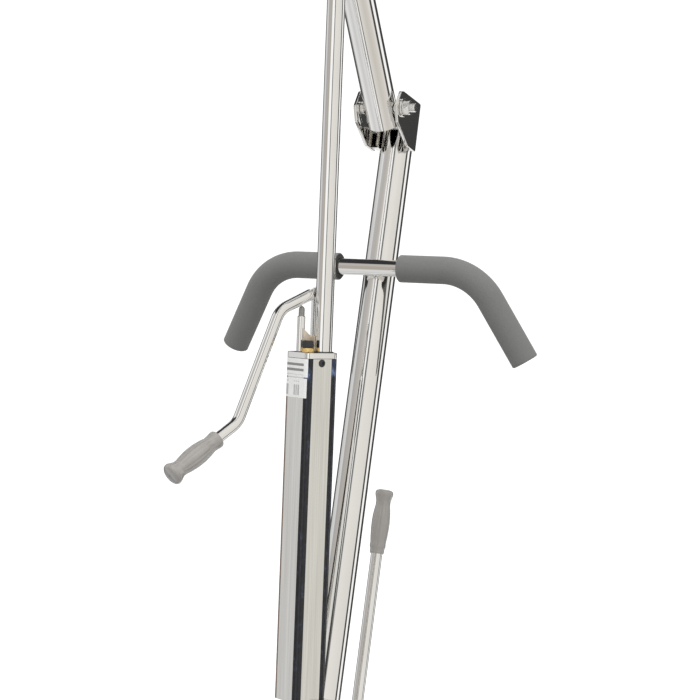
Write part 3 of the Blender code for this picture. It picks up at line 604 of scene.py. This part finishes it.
def bracket():
    kite = [(-0.0193, 0.0030), (-0.0035, 0.0224), (0.0055, 0.0224), (0.0621, 0.0050),
            (0.0428, -0.0610), (0.0167, -0.0520), (-0.0148, -0.0190)]
    loops = [rounded_loop(kite, 0.0035, 8)]
    at = shift(PIVOT)
    packer = (PIVOT.z - BEAM_TOP) / cos(MAST_LEAN) - 0.048
    near, far = TUBE_R + 2 * GAP, CHEEK_INNER - GAP
    spacer = [(0.0079, far), (0.0085, far - 0.0006), (0.0085, near + 0.0006), (0.0079, near), (0.0063, near),
              (0.0063, far)]
    for side, name in LEFT_RIGHT:
        middle = side * (CHEEK_INNER + CHEEK_THICK / 2)
        plate(name + "_cheek_skin", loops, CHEEK_THICK, CHROME, "base", at @ shift((middle, 0, 0)) @ SIDE_ON,
              edge=0.0010, slot="chrome", replaces=name + "_bracket_cheek")
        block = [(side * x, y)
                 for x, y in ((0.0200, -0.0150), (0.0288, -0.0150), (0.0288, 0.0), (0.0224, 0.0))]
        plate(name + "_packer_skin", [block[::side]], 0.028, CHROME, "base", MAST @ shift((0, 0, packer)),
              edge=0.0006)
        bead(name + "_cheek_weld", [(side * 0.0225, -0.0152, packer + z) for z in (-0.011, 0.013)], 0.0021,
             WELD, "base", MAST)
        lathe(name + "_spacer_skin", spacer, BRIGHT_ZINC, "base", at @ outward(side), closed=True,
              slot="chrome", replaces=name + "_pivot_washer")
    outer = CHEEK_INNER + CHEEK_THICK + GAP
    right = at @ shift((outer, 0, 0)) @ ALONG_X
    washer = [(0.0125, 0.0018), (0.0125, 0.0004), (0.0121, 0), (0.0060, 0), (0.0060, 0.0022),
              (0.0121, 0.0022)]
    hexagon("pivot_nut_skin", 0.0188, 0.0098, BRIGHT_ZINC, "base", right @ shift((0, 0, 0.0024)),
            slot="chrome", replaces="pivot_nut")
    lathe("pivot_nut_washer", washer, BRIGHT_ZINC, "base", right, closed=True)
    thread("pivot_bolt_thread", 0.0060, 0.0190, 0.00175, BRIGHT_ZINC, "base", right, slot="chrome")
    head = [(0, 0.0030), (0.0064, 0.0028), (0.0086, 0.0020), (0.0098, 0.0008), (0.0100, 0.0), (0.0059, 0.0),
            (0.0059, -0.0760), (0, -0.0760)]
    lathe("pivot_bolt_skin", head, BRIGHT_ZINC, "base", at @ shift((-outer, 0, 0)) @ outward(-1),
          slot="chrome", replaces="pivot_bolt")


def handlebar():
    centre = Vector((0, -(TUBE_R + BAR_R + GAP), BAR_HEIGHT))
    leg = BAR_LEG.normalized()

    def leg_of(side, length):
        return centre + Vector((side * BAR_HALF, 0, 0)) + length * Vector((side * leg.x, leg.y, leg.z))
    corners = [leg_of(-1, 0.130), leg_of(-1, 0.0), leg_of(1, 0.0), leg_of(1, 0.130)]
    sweep("handlebar_skin", fillet_path(corners, BAR_BEND_R, 24), BAR_R, CHROME, "base", MAST, sides=72,
          slot="chrome", replaces="handlebar")
    turns = [radians(-38 + 76 * index / 12) for index in range(13)]
    for sign, name in ((1, "upper"), (-1, "lower")):
        height = BAR_HEIGHT + sign * 0.0052
        arc = [(TUBE_R * sin(a) * 0.72, -TUBE_R * cos(a) - 0.0012, height) for a in turns]
        bead(name + "_bar_weld", arc, 0.0026, WELD, "base", MAST)
    for side, name in LEFT_RIGHT:
        start = centre + Vector((side * FOAM_START, 0, 0))
        way = fillet_path([start, leg_of(side, 0.0), leg_of(side, BAR_LEG.length)], BAR_BEND_R, 24)
        foam = sweep(name + "_foam_sleeve", denser(way, 0.004), FOAM_R, [FOAM, FOAM_CUT], "base", MAST,
                     bore=BAR_R + 0.0004, sides=96, lip=0.0012, end_material=1, slot="foam",
                     replaces=name + "_foam_grip")


# ---------------------------------------------------------------- boom and hanger
def boom():
    out = Vector((0, -sin(BOOM_BEND), cos(BOOM_BEND)))
    knee = Vector((0, 0, BOOM_KNEE))
    tip = knee + BOOM_REACH * out
    path = fillet_path([Vector((0, 0, -BOOM_STUB)), knee, tip], BOOM_BEND_R, 32)
    sweep("boom_tube_skin", path, TUBE_R, CHROME, "boom", BOOM, bore=TUBE_R - TUBE_WALL, sides=96,
          slot="chrome", replaces="boom_tube")
    plug = TUBE_R - TUBE_WALL - GAP
    cap = [(0, 0.0030), (TUBE_R - 0.0020, 0.0030), (TUBE_R - 0.0004, 0.0018), (TUBE_R, 0.0004), (TUBE_R, 0.0),
           (plug, 0.0), (plug, -0.010), (0, -0.010)]
    lathe("boom_cap_skin", cap, BLACK, "boom", BOOM @ local(tip + GAP * out, (BOOM_BEND, "X")),
          slot="black_plastic", replaces="boom_tip_cap")
    for side, name in LEFT_RIGHT:
        place = shift(HANGER + Vector((side * (TUBE_R + 0.0055), 0, 0))) @ outward(side)
        hexagon(name + "_hanger_bolt_end", 0.016, 0.0070, BRIGHT_ZINC, "boom", place)


def hanger():
    loop = stirrup(0.014, -0.052, -0.046, TUBE_R + 0.0012, TUBE_R + 0.0052, lip=0.0008, bend=0.005,
                   crotch=0.002)
    plate("hanger_stirrup", [loop], 0.026, CHROME, "hanger", shift(HANGER) @ FRONT_ON, edge=0.0008,
          slot="chrome", replaces="hanger_clevis")
    hub = shift(HANGER - Vector((0, 0, HUB_DROP)))
    profile = [(0, 0.0440), (0.0095, 0.0440), (0.0105, 0.0432), (0.0105, 0.0365), (0.0060, 0.0365),
               (0.0060, 0.0295), (0.0120, 0.0295), (0.0125, 0.0288), (0.0125, 0.0150), (0.0105, 0.0095),
               (0, 0.0095)]
    lathe("swivel_stud_skin", profile, CHROME, "spreader", hub, slot="zinc", replaces="swivel_stud")
    half, drop = 0.205, -0.050
    path = fillet_path([(-half, 0, drop), (-0.105, 0, 0), (0.105, 0, 0), (half, 0, drop)], 0.07, 16)
    sweep("spreader_tube", path, 0.011, CHROME, "spreader", hub, slot="chrome", replaces="spreader_bar")
    bead("stud_weld", hoop(0.0122, 0.0098, 36), 0.0022, WELD, "spreader", hub)
    cap = [(0, 0.0030), (0.0090, 0.0026), (0.0108, 0.0012), (0.0110, 0.0002), (0, 0.0002)]
    for side, name in LEFT_RIGHT:
        x = side * (half - 0.012)
        hook = [(x, 0, -0.044), (x, 0, -0.086), (x + side * 0.022, 0, -0.110),
                (x + side * 0.046, 0, -0.094), (x + side * 0.050, 0, -0.062)]
        sweep(name + "_hook_skin", fillet_path(hook, 0.012, 10), 0.005, CHROME, "spreader", hub, sides=40,
              lip=0.0018)
        away = Vector((0, 0, 1)).rotation_difference(Vector((side * 0.100, 0, drop)).normalized())
        lathe(name + "_spreader_cap", cap, BLACK, "spreader",
              hub @ shift((side * half, 0, drop)) @ away.to_matrix().to_4x4())


# ---------------------------------------------------------------- pump and ram
def ram():
    crotch = RAM_LENGTH - 0.066
    boss_low = crotch - 0.023
    rod_low = CAP_TOP - 0.080
    profile = [(0, boss_low), (RAM_R - 0.0006, boss_low), (RAM_R, boss_low - 0.0006), (RAM_R, rod_low),
               (0, rod_low)]
    lathe("ram_rod_skin", profile, CHROME, "ram", PUMP, sides=80, slot="chrome", replaces="ram_rod")
    outer = TUBE_R + 0.0063
    loop = stirrup(0.016, -0.073, -0.066, TUBE_R + 0.0013, outer, lip=0.0010, bend=0.006, crotch=0.003)
    pin = PUMP @ shift((0, 0, RAM_LENGTH))
    plate("ram_fork_skin", [loop], 0.026, CHROME, "ram", pin @ FRONT_ON, edge=0.0010, slot="chrome",
          replaces="ram_fork")
    boss = [(0, crotch - 0.005), (0.0150, crotch - 0.005), (0.0150, crotch - 0.020), (0.0142, boss_low),
            (0, boss_low)]
    lathe("ram_boss", boss, CHROME, "ram", PUMP)
    for side, name in LEFT_RIGHT:
        hexagon(name + "_fork_bolt_end", 0.0182, 0.0074, BRIGHT_ZINC, "ram",
                pin @ shift((side * outer, 0, 0)) @ outward(side))


# Case slots: bare chrome, the black corner film, and the far-left corner's painted brown reflection.
BARE, FILM, PAINTED_BROWN = 0, 1, 2


def split_side(loop):
    """Adds a point on the outline's +X side, where the far corner's film stops."""
    best = max(range(len(loop)), key=lambda i: (round(loop[i][0], 6), loop[i][1]))
    return loop[:best] + [(loop[best][0], loop[best][1] - 0.0040)] + loop[best:]


def pump_case():
    top = CAP_TOP - CAP_THICK - GAP
    inside = CASE - 0.006
    outline = split_side(rectangle(CASE, CASE, CASE_CORNER, 12))
    inner = split_side(rectangle(inside, inside, CASE_CORNER - 0.003, 12))
    levels = [CASE_BOTTOM + (top - CASE_BOTTOM) * i / 8 for i in range(9)]
    work = bmesh.new()
    rings = [[work.verts.new((x, y, z)) for x, y in outline] for z in levels]
    rings += [[work.verts.new((x, y, z)) for x, y in inner] for z in (top, CASE_BOTTOM)]
    count = len(outline)
    flat = CASE / 2 - CASE_CORNER + 0.0004
    for index in range(len(rings)):
        one, two = rings[index], rings[(index + 1) % len(rings)]
        for step in range(count):
            after = (step + 1) % count
            face = work.faces.new((one[step], one[after], two[after], two[step]))
            middle = face.calc_center_median()
            if index > len(levels) - 2:
                continue
            # The far-left corner gets a painted brown reflection; the other corners get the black film.
            if abs(middle.x) > flat and abs(middle.y) > flat:
                face.material_index = PAINTED_BROWN if middle.x < 0 and middle.y < 0 else FILM
            if middle.x > 0 and -flat - 0.0012 < middle.y < -flat:
                face.material_index = BARE
            if middle.x > CASE / 2 - 0.0001 and middle.y > flat - 0.0035:
                face.material_index = FILM
    mesh = from_bmesh("pump_case_skin", work)
    finish_piece("pump_case_skin", mesh, [CASE_FINISH, CORNER, PAINTED_BROWN_REFLECTION], "pump", HEAD, slot="chrome",
                 replaces="pump_case")
    loops = [rectangle(CASE, CASE, CASE_CORNER, 12), circle(RAM_R + GAP, RAM_IN_CASE[:2], 64)]
    plate("pump_cap_skin", loops, CAP_THICK, CHROME, "pump", HEAD @ shift((0, 0, CAP_TOP - CAP_THICK / 2)),
          edge=0.0007, slot="chrome", replaces="pump_cap")
    wiper = [(RAM_R + 0.0021, 0.0005), (RAM_R + 0.0016, 0.0012), (RAM_R + 0.0002, 0.0014),
             (RAM_R + 0.0002, 0.0001), (RAM_R + 0.0021, 0.0001)]
    lathe("ram_wiper", wiper, BLACK, "pump", HEAD @ shift((*RAM_IN_CASE[:2], CAP_TOP)), closed=True)
    place = HEAD @ shift((CASE / 2, -0.0035, top - 0.0054)) @ ALONG_X
    profile = [(0, 0.0008), (0.0016, 0.0008), (0.0018, 0.0021), (0.0030, 0.0022), (0.0042, 0.0016),
               (0.0050, 0.0006), (0.0050, 0.0), (0, 0.0)]
    lathe("case_screw_skin", profile, BLACK, "pump", place, sides=48, slot="black_plastic",
          replaces="case_screw")


def labels():
    """Stickers without lettering that wrap round the case's left corner."""
    half = CASE / 2 + 0.00012
    corner = CASE_CORNER

    def arc(sx, first, last):
        centre = (sx * (half - corner), -half + corner)
        turns = [radians(first + (last - first) * i / 8) for i in range(9)]
        return [(centre[0] + sx * corner * sin(a), centre[1] - corner * cos(a)) for a in turns]
    grey, pale = 0.30, 0.72
    designs = (
        ("upper_label", CAP_TOP - 0.0080, 0.0238, 40,
         [(0.0, 1.0), (0.10, pale), (0.14, 1.0), (0.31, grey), (0.45, 1.0), (0.60, grey), (0.74, 1.0)],
         [(0.0, 0.0), (0.86, 1.0)]),
        ("lower_label", CAP_TOP - 0.0334, 0.0252, 34,
         [(0.0, 1.0), (0.12, 0.55), (0.66, 1.0), (0.80, pale), (0.86, 1.0)],
         [(0.0, 0.3), (0.22, 1.0), (0.46, 0.0), (0.52, 1.0), (0.55, 0.0), (0.60, 1.0), (0.63, 0.2),
          (0.70, 1.0)]),
    )
    for name, top, high, reach, bars, columns in designs:
        line = arc(1, reach, 0) + arc(-1, 0, 90) + [(-half, -half + corner + 0.020)]
        work = bmesh.new()
        rows = [[work.verts.new((x, y, z)) for x, y in line] for z in (top, top - high)]
        for step in range(len(line) - 1):
            work.faces.new((rows[0][step], rows[0][step + 1], rows[1][step + 1], rows[1][step]))
        finish_piece(name, from_bmesh(name, work), label_material(name, bars, columns), "pump", HEAD)


def bracket_skin(on_cap):
    """Folded yellow-passivated plate with a sloping top."""
    near, wall, front, back = PLUNGER_X + 0.0055, 0.0014, -0.0164, -0.0026
    folded = [(-0.0134, back - wall), (near, back - wall), (near, front), (near + wall, front),
              (near + wall, back - wall), (0.0085, back - wall), (0.0085, back), (-0.0134, back)]
    work = bmesh.new()
    feet = [work.verts.new((x, y, on_cap)) for x, y in folded]
    tops = [work.verts.new((x, y, on_cap + min(0.032, 0.0235 - (y + 0.0078) * 0.8012))) for x, y in folded]
    for index in range(len(folded)):
        after = (index + 1) % len(folded)
        work.faces.new((feet[index], feet[after], tops[after], tops[index]))
    work.faces.new(feet)
    work.faces.new(tops)
    finish_piece("lever_bracket_skin", from_bmesh("lever_bracket_skin", work), YELLOW_ZINC, "pump", HEAD,
                 slot="yellow_zinc", replaces="lever_bracket")


def pump_head():
    on_cap = CAP_TOP + GAP
    plunger_y = RAM_IN_CASE.y - PLUNGER_AHEAD
    at_plunger = HEAD @ shift((PLUNGER_X, plunger_y, 0))
    sleeve = [(0.0042, on_cap + 0.0460), (0.0046, on_cap + 0.0460), (0.0052, on_cap + 0.0452),
              (0.0052, on_cap + 0.0005), (0.0042, on_cap + 0.0005)]
    lathe("plunger_sleeve_skin", sleeve, CHROME, "pump", at_plunger, closed=True, slot="chrome",
          replaces="plunger_sleeve")
    top = FULCRUM - PLUNGER_AHEAD * tan(LEVER_DROP) - LEVER_R / cos(LEVER_DROP) - 0.0008
    rod = [(0, top), (0.0012, top - 0.0005), (0.0024, top - 0.0014), (0.0034, top - 0.0027),
           (0.0039, top - 0.0042), (0.0039, CAP_TOP + 0.012), (0, CAP_TOP + 0.012)]
    lathe("plunger_rod_skin", rod, DARK_STEEL, "plunger", at_plunger, slot="chrome", replaces="plunger_rod")
    bracket_skin(on_cap)
    place = HEAD @ shift((PLUNGER_X - (TANG + LINK_THICK) / 2 - GAP, 0, 0)) @ SIDE_ON
    strap = strap_loop((RAM_IN_CASE.y, on_cap + 0.005), (RAM_IN_CASE.y, FULCRUM), 0.005)
    plate("lever_link_skin", [strap], LINK_THICK, CHROME, "pump", place, slot="chrome", replaces="lever_link")
    at_knob = HEAD @ shift((KNOB_AT.x, KNOB_AT.y, on_cap))
    hexagon("valve_collar_skin", 0.0166, 0.0054, BRASS, "pump", at_knob, slot="brass",
            replaces="valve_collar")

    def knurl(r, z, angle):
        if r < 0.0068 or z > 0.0143:
            return r
        return r - 0.00035 * (0.5 + 0.5 * cos(22 * angle))
    knob = [(0, 0.0150), (0.0060, 0.0150), (0.0068, 0.0145), (0.0072, 0.0138), (0.0072, 0.0066),
            (0.0066, 0.0058), (0, 0.0058)]
    lathe("release_knob_skin", knob, BLACK, "knob", at_knob, sides=120, shape=knurl, slot="black_plastic",
          replaces="release_knob")


def lever():
    def at(ahead, along):
        return Vector((PLUNGER_X, RAM_IN_CASE.y - ahead, along))
    pin = at(0, FULCRUM)
    first = at(0.0600, FULCRUM - 0.0600 * tan(LEVER_DROP))
    second, grip_out = at(0.1210, 0.5603), at(0.2201, 0.4966)
    way = (grip_out - second).normalized()
    grip_in = grip_out - LEVER_GRIP * way
    away = (first - pin).normalized()
    path = fillet_path([pin + 0.0110 * away, first, second, grip_out - 0.010 * way], 0.030, 20)
    sweep("pump_lever_skin", path, LEVER_R, CHROME, "lever", HEAD, sides=64, lip=0.0015, slot="chrome",
          replaces="pump_lever")
    root = pin + 0.024 * away
    plate("lever_tang", [strap_loop(pin.yz, root.yz, 0.0060)], TANG, CHROME, "lever",
          HEAD @ shift((PLUNGER_X, 0, 0)) @ SIDE_ON, edge=0.0008)
    head = [(0, 0.0018), (0.0030, 0.0018), (0.0042, 0.0008), (0.0042, 0.0), (0.0026, 0.0), (0.0026, -0.0094),
            (0, -0.0094)]
    under_head = pin - Vector((TANG / 2 + LINK_THICK + 2 * GAP, 0, 0))
    lathe("lever_pin_skin", head, BRIGHT_ZINC, "pump", HEAD @ shift(under_head) @ outward(-1), slot="zinc",
          replaces="lever_pin")
    grip("lever_grip_skin", LEVER_GRIP, LEVER_R, "lever", HEAD @ local(grip_in, (atan2(-way.y, way.z), "X")),
         (0.0118, 0.0103, 0.0137, 0.0108, 0.0146), "lever_grip")


FLUTES_FROM, FLUTES_TO, FLUTE_FADE = 0.07, 0.84, 0.10


def grip(name, length, bore, body, place, radii, node):
    """Fluted vinyl grip along local Z, open at zero."""
    neck, low, middle, high, flare = radii
    stations = [(0.000, neck * 0.93), (0.012, neck * 0.99), (0.030, neck), (0.060, neck * 0.985),
                (0.11, low * 1.06), (0.17, low * 1.04), (0.26, (low + middle) / 2 * 1.02),
                (0.38, middle * 0.985), (0.48, middle), (0.58, middle * 0.975), (0.68, (middle + high) / 2),
                (0.76, high * 1.02), (0.82, high * 1.02), (0.87, (high + flare) / 2), (0.915, flare * 0.985),
                (0.945, flare), (0.970, flare * 0.95), (0.986, flare * 0.84), (0.996, flare * 0.62),
                (1.0, flare * 0.30), (1.0, 0.0012), (0.975, 0.0008)]
    profile = [(bore + 0.0002, 0.0)] + [(r, t * length) for t, r in stations] + [(0, 0.975 * length)]

    def flutes(r, z, angle):
        t = z / length
        if r <= bore + 0.0003 or t < FLUTES_FROM or t > FLUTES_TO:
            return r
        fade = min(1.0, (t - FLUTES_FROM) / FLUTE_FADE, (FLUTES_TO - t) / FLUTE_FADE)
        return r - 0.00050 * fade * (0.5 + 0.5 * cos(10 * angle)) ** 3
    dense = [profile[0]]
    for (r1, z1), (r2, z2) in zip(profile, profile[1:]):
        count = 5 if z2 > z1 + 0.003 else 1
        dense += [(r1 + (r2 - r1) * (i + 1) / count, z1 + (z2 - z1) * (i + 1) / count) for i in range(count)]
    dense.reverse()
    dense += [(bore + 0.0002, length * 0.10), (0, length * 0.10)]
    lathe(name, dense, VINYL, body, place, sides=160, shape=flutes, slot="vinyl", replaces=node, sharp=50.0)


# ---------------------------------------------------------------- base, shifter and casters
def shifter():
    joint = Vector(JOINTS["base_shifter"]["pos_m"])
    top_z = PIVOT.z - SHIFTER_TOP
    behind = Vector((0, SHIFTER_BEHIND, 0))
    corner = mast_axis(0.170) + behind
    start = Vector((0, corner.y, joint.z + 0.003))
    path = fillet_path([start, corner, mast_axis(top_z - 0.012) + behind], 0.035)
    sweep("shifter_rod_skin", path, SHIFTER_R, CHROME, "shifter", sides=56, slot="chrome",
          replaces="shifter_rod")
    lean = Vector((0, sin(MAST_LEAN), cos(MAST_LEAN)))
    grip("shifter_grip_skin", SHIFTER_GRIP, SHIFTER_R, "shifter",
         local(mast_axis(top_z) + behind - SHIFTER_GRIP * lean, (-MAST_LEAN, "X")),
         (0.0100, 0.0105, 0.0127, 0.0100, 0.0126), "shifter_grip")


def base():
    low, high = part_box("base_crossbeam")
    for side, name in LEFT_RIGHT:
        place = shift((side * (high.x + 0.0001), (low.y + high.y) / 2, (low.z + high.z) / 2)) @ SIDE_ON
        plate(name + "_beam_cap", [rectangle(0.0496, 0.0496, 0.0058)], 0.0030, BLACK, "base", place,
              edge=0.0012)
        leg_x = JOINTS[name + "_leg_spread"]["pos_m"][0]
        leg_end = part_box(name + "_leg_tube")[0].y
        plate(name + "_leg_cap", [rectangle(0.0398, 0.0298, 0.0048)], 0.0030, BLACK, name + "_leg",
              shift((leg_x, leg_end - 0.0001, LEG_HEIGHT)) @ FRONT_ON, edge=0.0012)
    finishes = (
        (CHROME, ("base_crossbeam", "left_leg_tube", "right_leg_tube")),
        (CHROME_DULL, ("base_plate", "pump_yoke")),
        (ZINC, ("cam_plate", "cam_bolt", "left_tie_link", "right_tie_link", "left_leg_pivot_bolt",
                "right_leg_pivot_bolt", "pump_base_plug")),
        (BRIGHT_ZINC, ("socket_bolt", "foot_bolt", "hanger_bolt")),
    )
    for finish, nodes in finishes:
        for node in nodes:
            paint(node, finish)


def casters():
    for name in ("left_front", "right_front", "left_rear", "right_rear"):
        paint(name + "_caster_fork", ZINC)
        spot = Vector(JOINTS[name + "_wheel_roll"]["pos_m"])
        wheel_r = spot.z
        width = 0.024 if "front" in name else 0.026
        half, hub = width / 2, width / 2 + 0.0020
        place = shift(spot) @ ALONG_X
        rim = wheel_r * 0.76
        crown = [(rim, half), (wheel_r * 0.90, half), (wheel_r * 0.955, half * 0.88),
                 (wheel_r * 0.988, half * 0.62), (wheel_r, half * 0.25)]
        tyre = crown + [(r, -z) for r, z in reversed(crown)]
        lathe(name + "_tyre", tyre, TYRE, name + "_wheel", place, sides=96, closed=True, slot="grey_tyre",
              replaces=name + "_caster_wheel")
        web = half * 0.45
        disc = [(0.0048, hub), (0.0125, hub), (0.0130, hub - 0.0005), (0.0135, web), (rim * 0.86, web),
                (rim * 0.90, half * 0.9), (rim + 0.0004, half * 0.96)]
        disc += [(r, -z) for r, z in reversed(disc)]
        lathe(name + "_hub", disc, RIM, name + "_wheel", place, sides=96, closed=True)
        for side, end in LEFT_RIGHT:
            bolt = shift(spot + Vector((side * (half + 0.0058), 0, 0))) @ outward(side)
            hexagon(name + "_" + end + "_axle_end", 0.0125, 0.0036, BRIGHT_ZINC, name + "_fork", bolt)
        if "rear" in name:
            paint(name + "_caster_brake_pedal", BLACK)


# ---------------------------------------------------------------- studio
FLOOR_HALF = 60.0
ROOM_TURN = radians(25.0)
ROOM_STRENGTH = 1.10
BEIGE, CREAM = (0.47, 0.445, 0.42), (0.80, 0.785, 0.745)
CEILING = (0.035, 0.035, 0.038)
SOFT_LOW = (0.54, 0.54, 0.54)
WHITE = (1.0, 1.0, 1.0)
LENS_MM, SENSOR_MM = 97.46, 36.0
EYE = PIVOT + Vector((1.0988, -2.3564, -0.008))
EYE_TURN = (radians(82.895), 0.0, radians(25.925))
# Panels that the chrome mirrors, at three heights: (degrees to the right of the room's front, brightness).
MIDDLE_PANELS = (
    (-180, 0.10), (-136, 0.09), (-130, 0.60), (-98, 0.68), (-92, 0.40), (-70, BEIGE),
    (-44, (0.44, 0.395, 0.345)), (-40, 0.97), (-13, 1.0), (-9, 0.14), (-3, 0.18), (1, CREAM),
    (83, (0.74, 0.725, 0.69)), (86, 0.06), (98, 0.06), (101, 0.98), (120, 0.98), (124, 0.05), (158, 0.04),
    (164, 0.97), (180, 0.95))
UPPER_PANELS = (
    (-180, 0.9), (-150, 0.95), (-144, 0.12), (-126, 0.10), (-120, 0.95), (-96, 0.95), (-90, 0.50),
    (-66, BEIGE), (-44, (0.56, 0.53, 0.50)), (-36, 0.9), (-14, 1.0), (-9, 0.12), (-3, 0.16), (2, CREAM),
    (74, CREAM), (84, 0.10), (98, 0.10), (104, 0.97), (122, 0.97), (128, 0.10), (158, 0.08), (164, 0.95))
LOWER_PANELS = (
    (-180, 0.9), (-128, 0.30), (-122, 0.85), (-84, 0.62), (-58, 0.74), (-44, 0.60), (-39, 0.95),
    (-12, 0.95), (-8, 0.16), (-3, 0.2), (1, (0.74, 0.72, 0.68)), (40, (0.60, 0.57, 0.53)),
    (76, (0.70, 0.66, 0.62)), (86, 0.10), (94, 0.12), (100, 0.98), (180, 0.95))


def room_light(w):
    """Plain white behind the object, a soft light that fades downwards, and panels for the chrome only."""
    direction = w.node("ShaderNodeTexCoord").outputs["Generated"]

    def along(*axis):
        made = w.node("ShaderNodeVectorMath", operation="DOT_PRODUCT")
        w.link(direction, made.inputs[0])
        made.inputs[1].default_value = axis
        return made.outputs["Value"]

    def edge(source, low, high):
        return w.span(source, start=low, end=high, curve="SMOOTHSTEP")

    def even(colour):
        made = w.node("ShaderNodeRGB")
        made.outputs[0].default_value = (*colour, 1.0)
        return made.outputs[0]

    up = along(0.0, 0.0, 1.0)
    angle = w.node("ShaderNodeMath", operation="ARCTAN2")
    w.link(along(cos(ROOM_TURN), sin(ROOM_TURN), 0.0), angle.inputs[0])
    w.link(along(sin(ROOM_TURN), -cos(ROOM_TURN), 0.0), angle.inputs[1])
    turn = w.span(angle.outputs[0], start=-pi, end=pi)
    lower, middle, upper = [w.ramp(turn, [((degrees + 180) / 360, value) for degrees, value in stops])
                            for stops in (LOWER_PANELS, MIDDLE_PANELS, UPPER_PANELS)]
    room = w.mix(edge(up, -0.42, -0.30), lower, middle)
    room = w.mix(edge(up, 0.30, 0.40), room, upper)
    overhead = w.node("ShaderNodeMath", operation="MULTIPLY")
    w.link(edge(along(0.0, 0.25, 1.0), 0.58, 0.68), overhead.inputs[0])
    w.link(edge(along(-1.0, 0.0, 0.0), 0.10, 0.25), overhead.inputs[1])
    room = w.mix(overhead.outputs[0], room, even(CEILING))

    white = even(WHITE)
    rays = w.node("ShaderNodeLightPath").outputs
    soft = w.mix(edge(up, -0.4, 0.7), even(SOFT_LOW), white)
    seen = w.mix(rays["Is Camera Ray"], soft, white)
    seen = w.mix(rays["Is Glossy Ray"], seen, room)
    shine = w.node("ShaderNodeBackground")
    w.link(seen, shine.inputs["Color"])
    shine.inputs["Strength"].default_value = ROOM_STRENGTH
    w.link(shine.outputs[0], w.node("ShaderNodeOutputWorld").inputs["Surface"])


def soft_light(name, at, aim, size, power):
    lamp = bpy.data.lights.new(name, "AREA")
    lamp.shape = "RECTANGLE"
    lamp.size = lamp.size_y = size
    lamp.energy = power
    made = bpy.data.objects.new(name, lamp)
    made.location = at
    made.rotation_euler = (Vector(aim) - Vector(at)).to_track_quat("-Z", "Y").to_euler()
    made.visible_glossy = False
    made.visible_camera = False
    bpy.context.scene.collection.objects.link(made)


def studio():
    scene = bpy.context.scene
    scene.view_settings.view_transform = "Standard"
    floor_mesh = bpy.data.meshes.new("studio_floor")
    corners = [(FLOOR_HALF * x, FLOOR_HALF * y, 0) for x, y in ((-1, -1), (1, -1), (1, 1), (-1, 1))]
    floor_mesh.from_pydata(corners, [], [(0, 1, 2, 3)])
    floor_mesh.materials.append(Material(
        "floor_finish", Base_Color=(0.97, 0.97, 0.97, 1.0), Roughness=0.9, Specular_IOR_Level=0.0,
        Emission_Color=(*WHITE, 1.0), Emission_Strength=0.12).material)
    floor = bpy.data.objects.new("studio_floor", floor_mesh)
    scene.collection.objects.link(floor)
    floor.visible_glossy = False
    floor.visible_diffuse = False

    world = bpy.data.worlds.new("studio")
    scene.world = world
    world.use_nodes = True
    world.node_tree.nodes.clear()
    room_light(Nodes(world.node_tree))
    soft_light("overhead_soft", (0.6, -0.8, 3.6), (0, 0.3, 1.0), 3.0, 40.0)

    lens = bpy.data.cameras.new("studio_camera")
    lens.lens = LENS_MM
    lens.sensor_width = SENSOR_MM
    lens.clip_end = 200.0
    camera = bpy.data.objects.new("studio_camera", lens)
    camera.location = EYE
    camera.rotation_euler = EYE_TURN
    scene.collection.objects.link(camera)
    scene.camera = camera


studio()
mast()
bracket()
handlebar()
boom()
hanger()
ram()
pump_case()
labels()
pump_head()
lever()
shifter()
base()
casters()
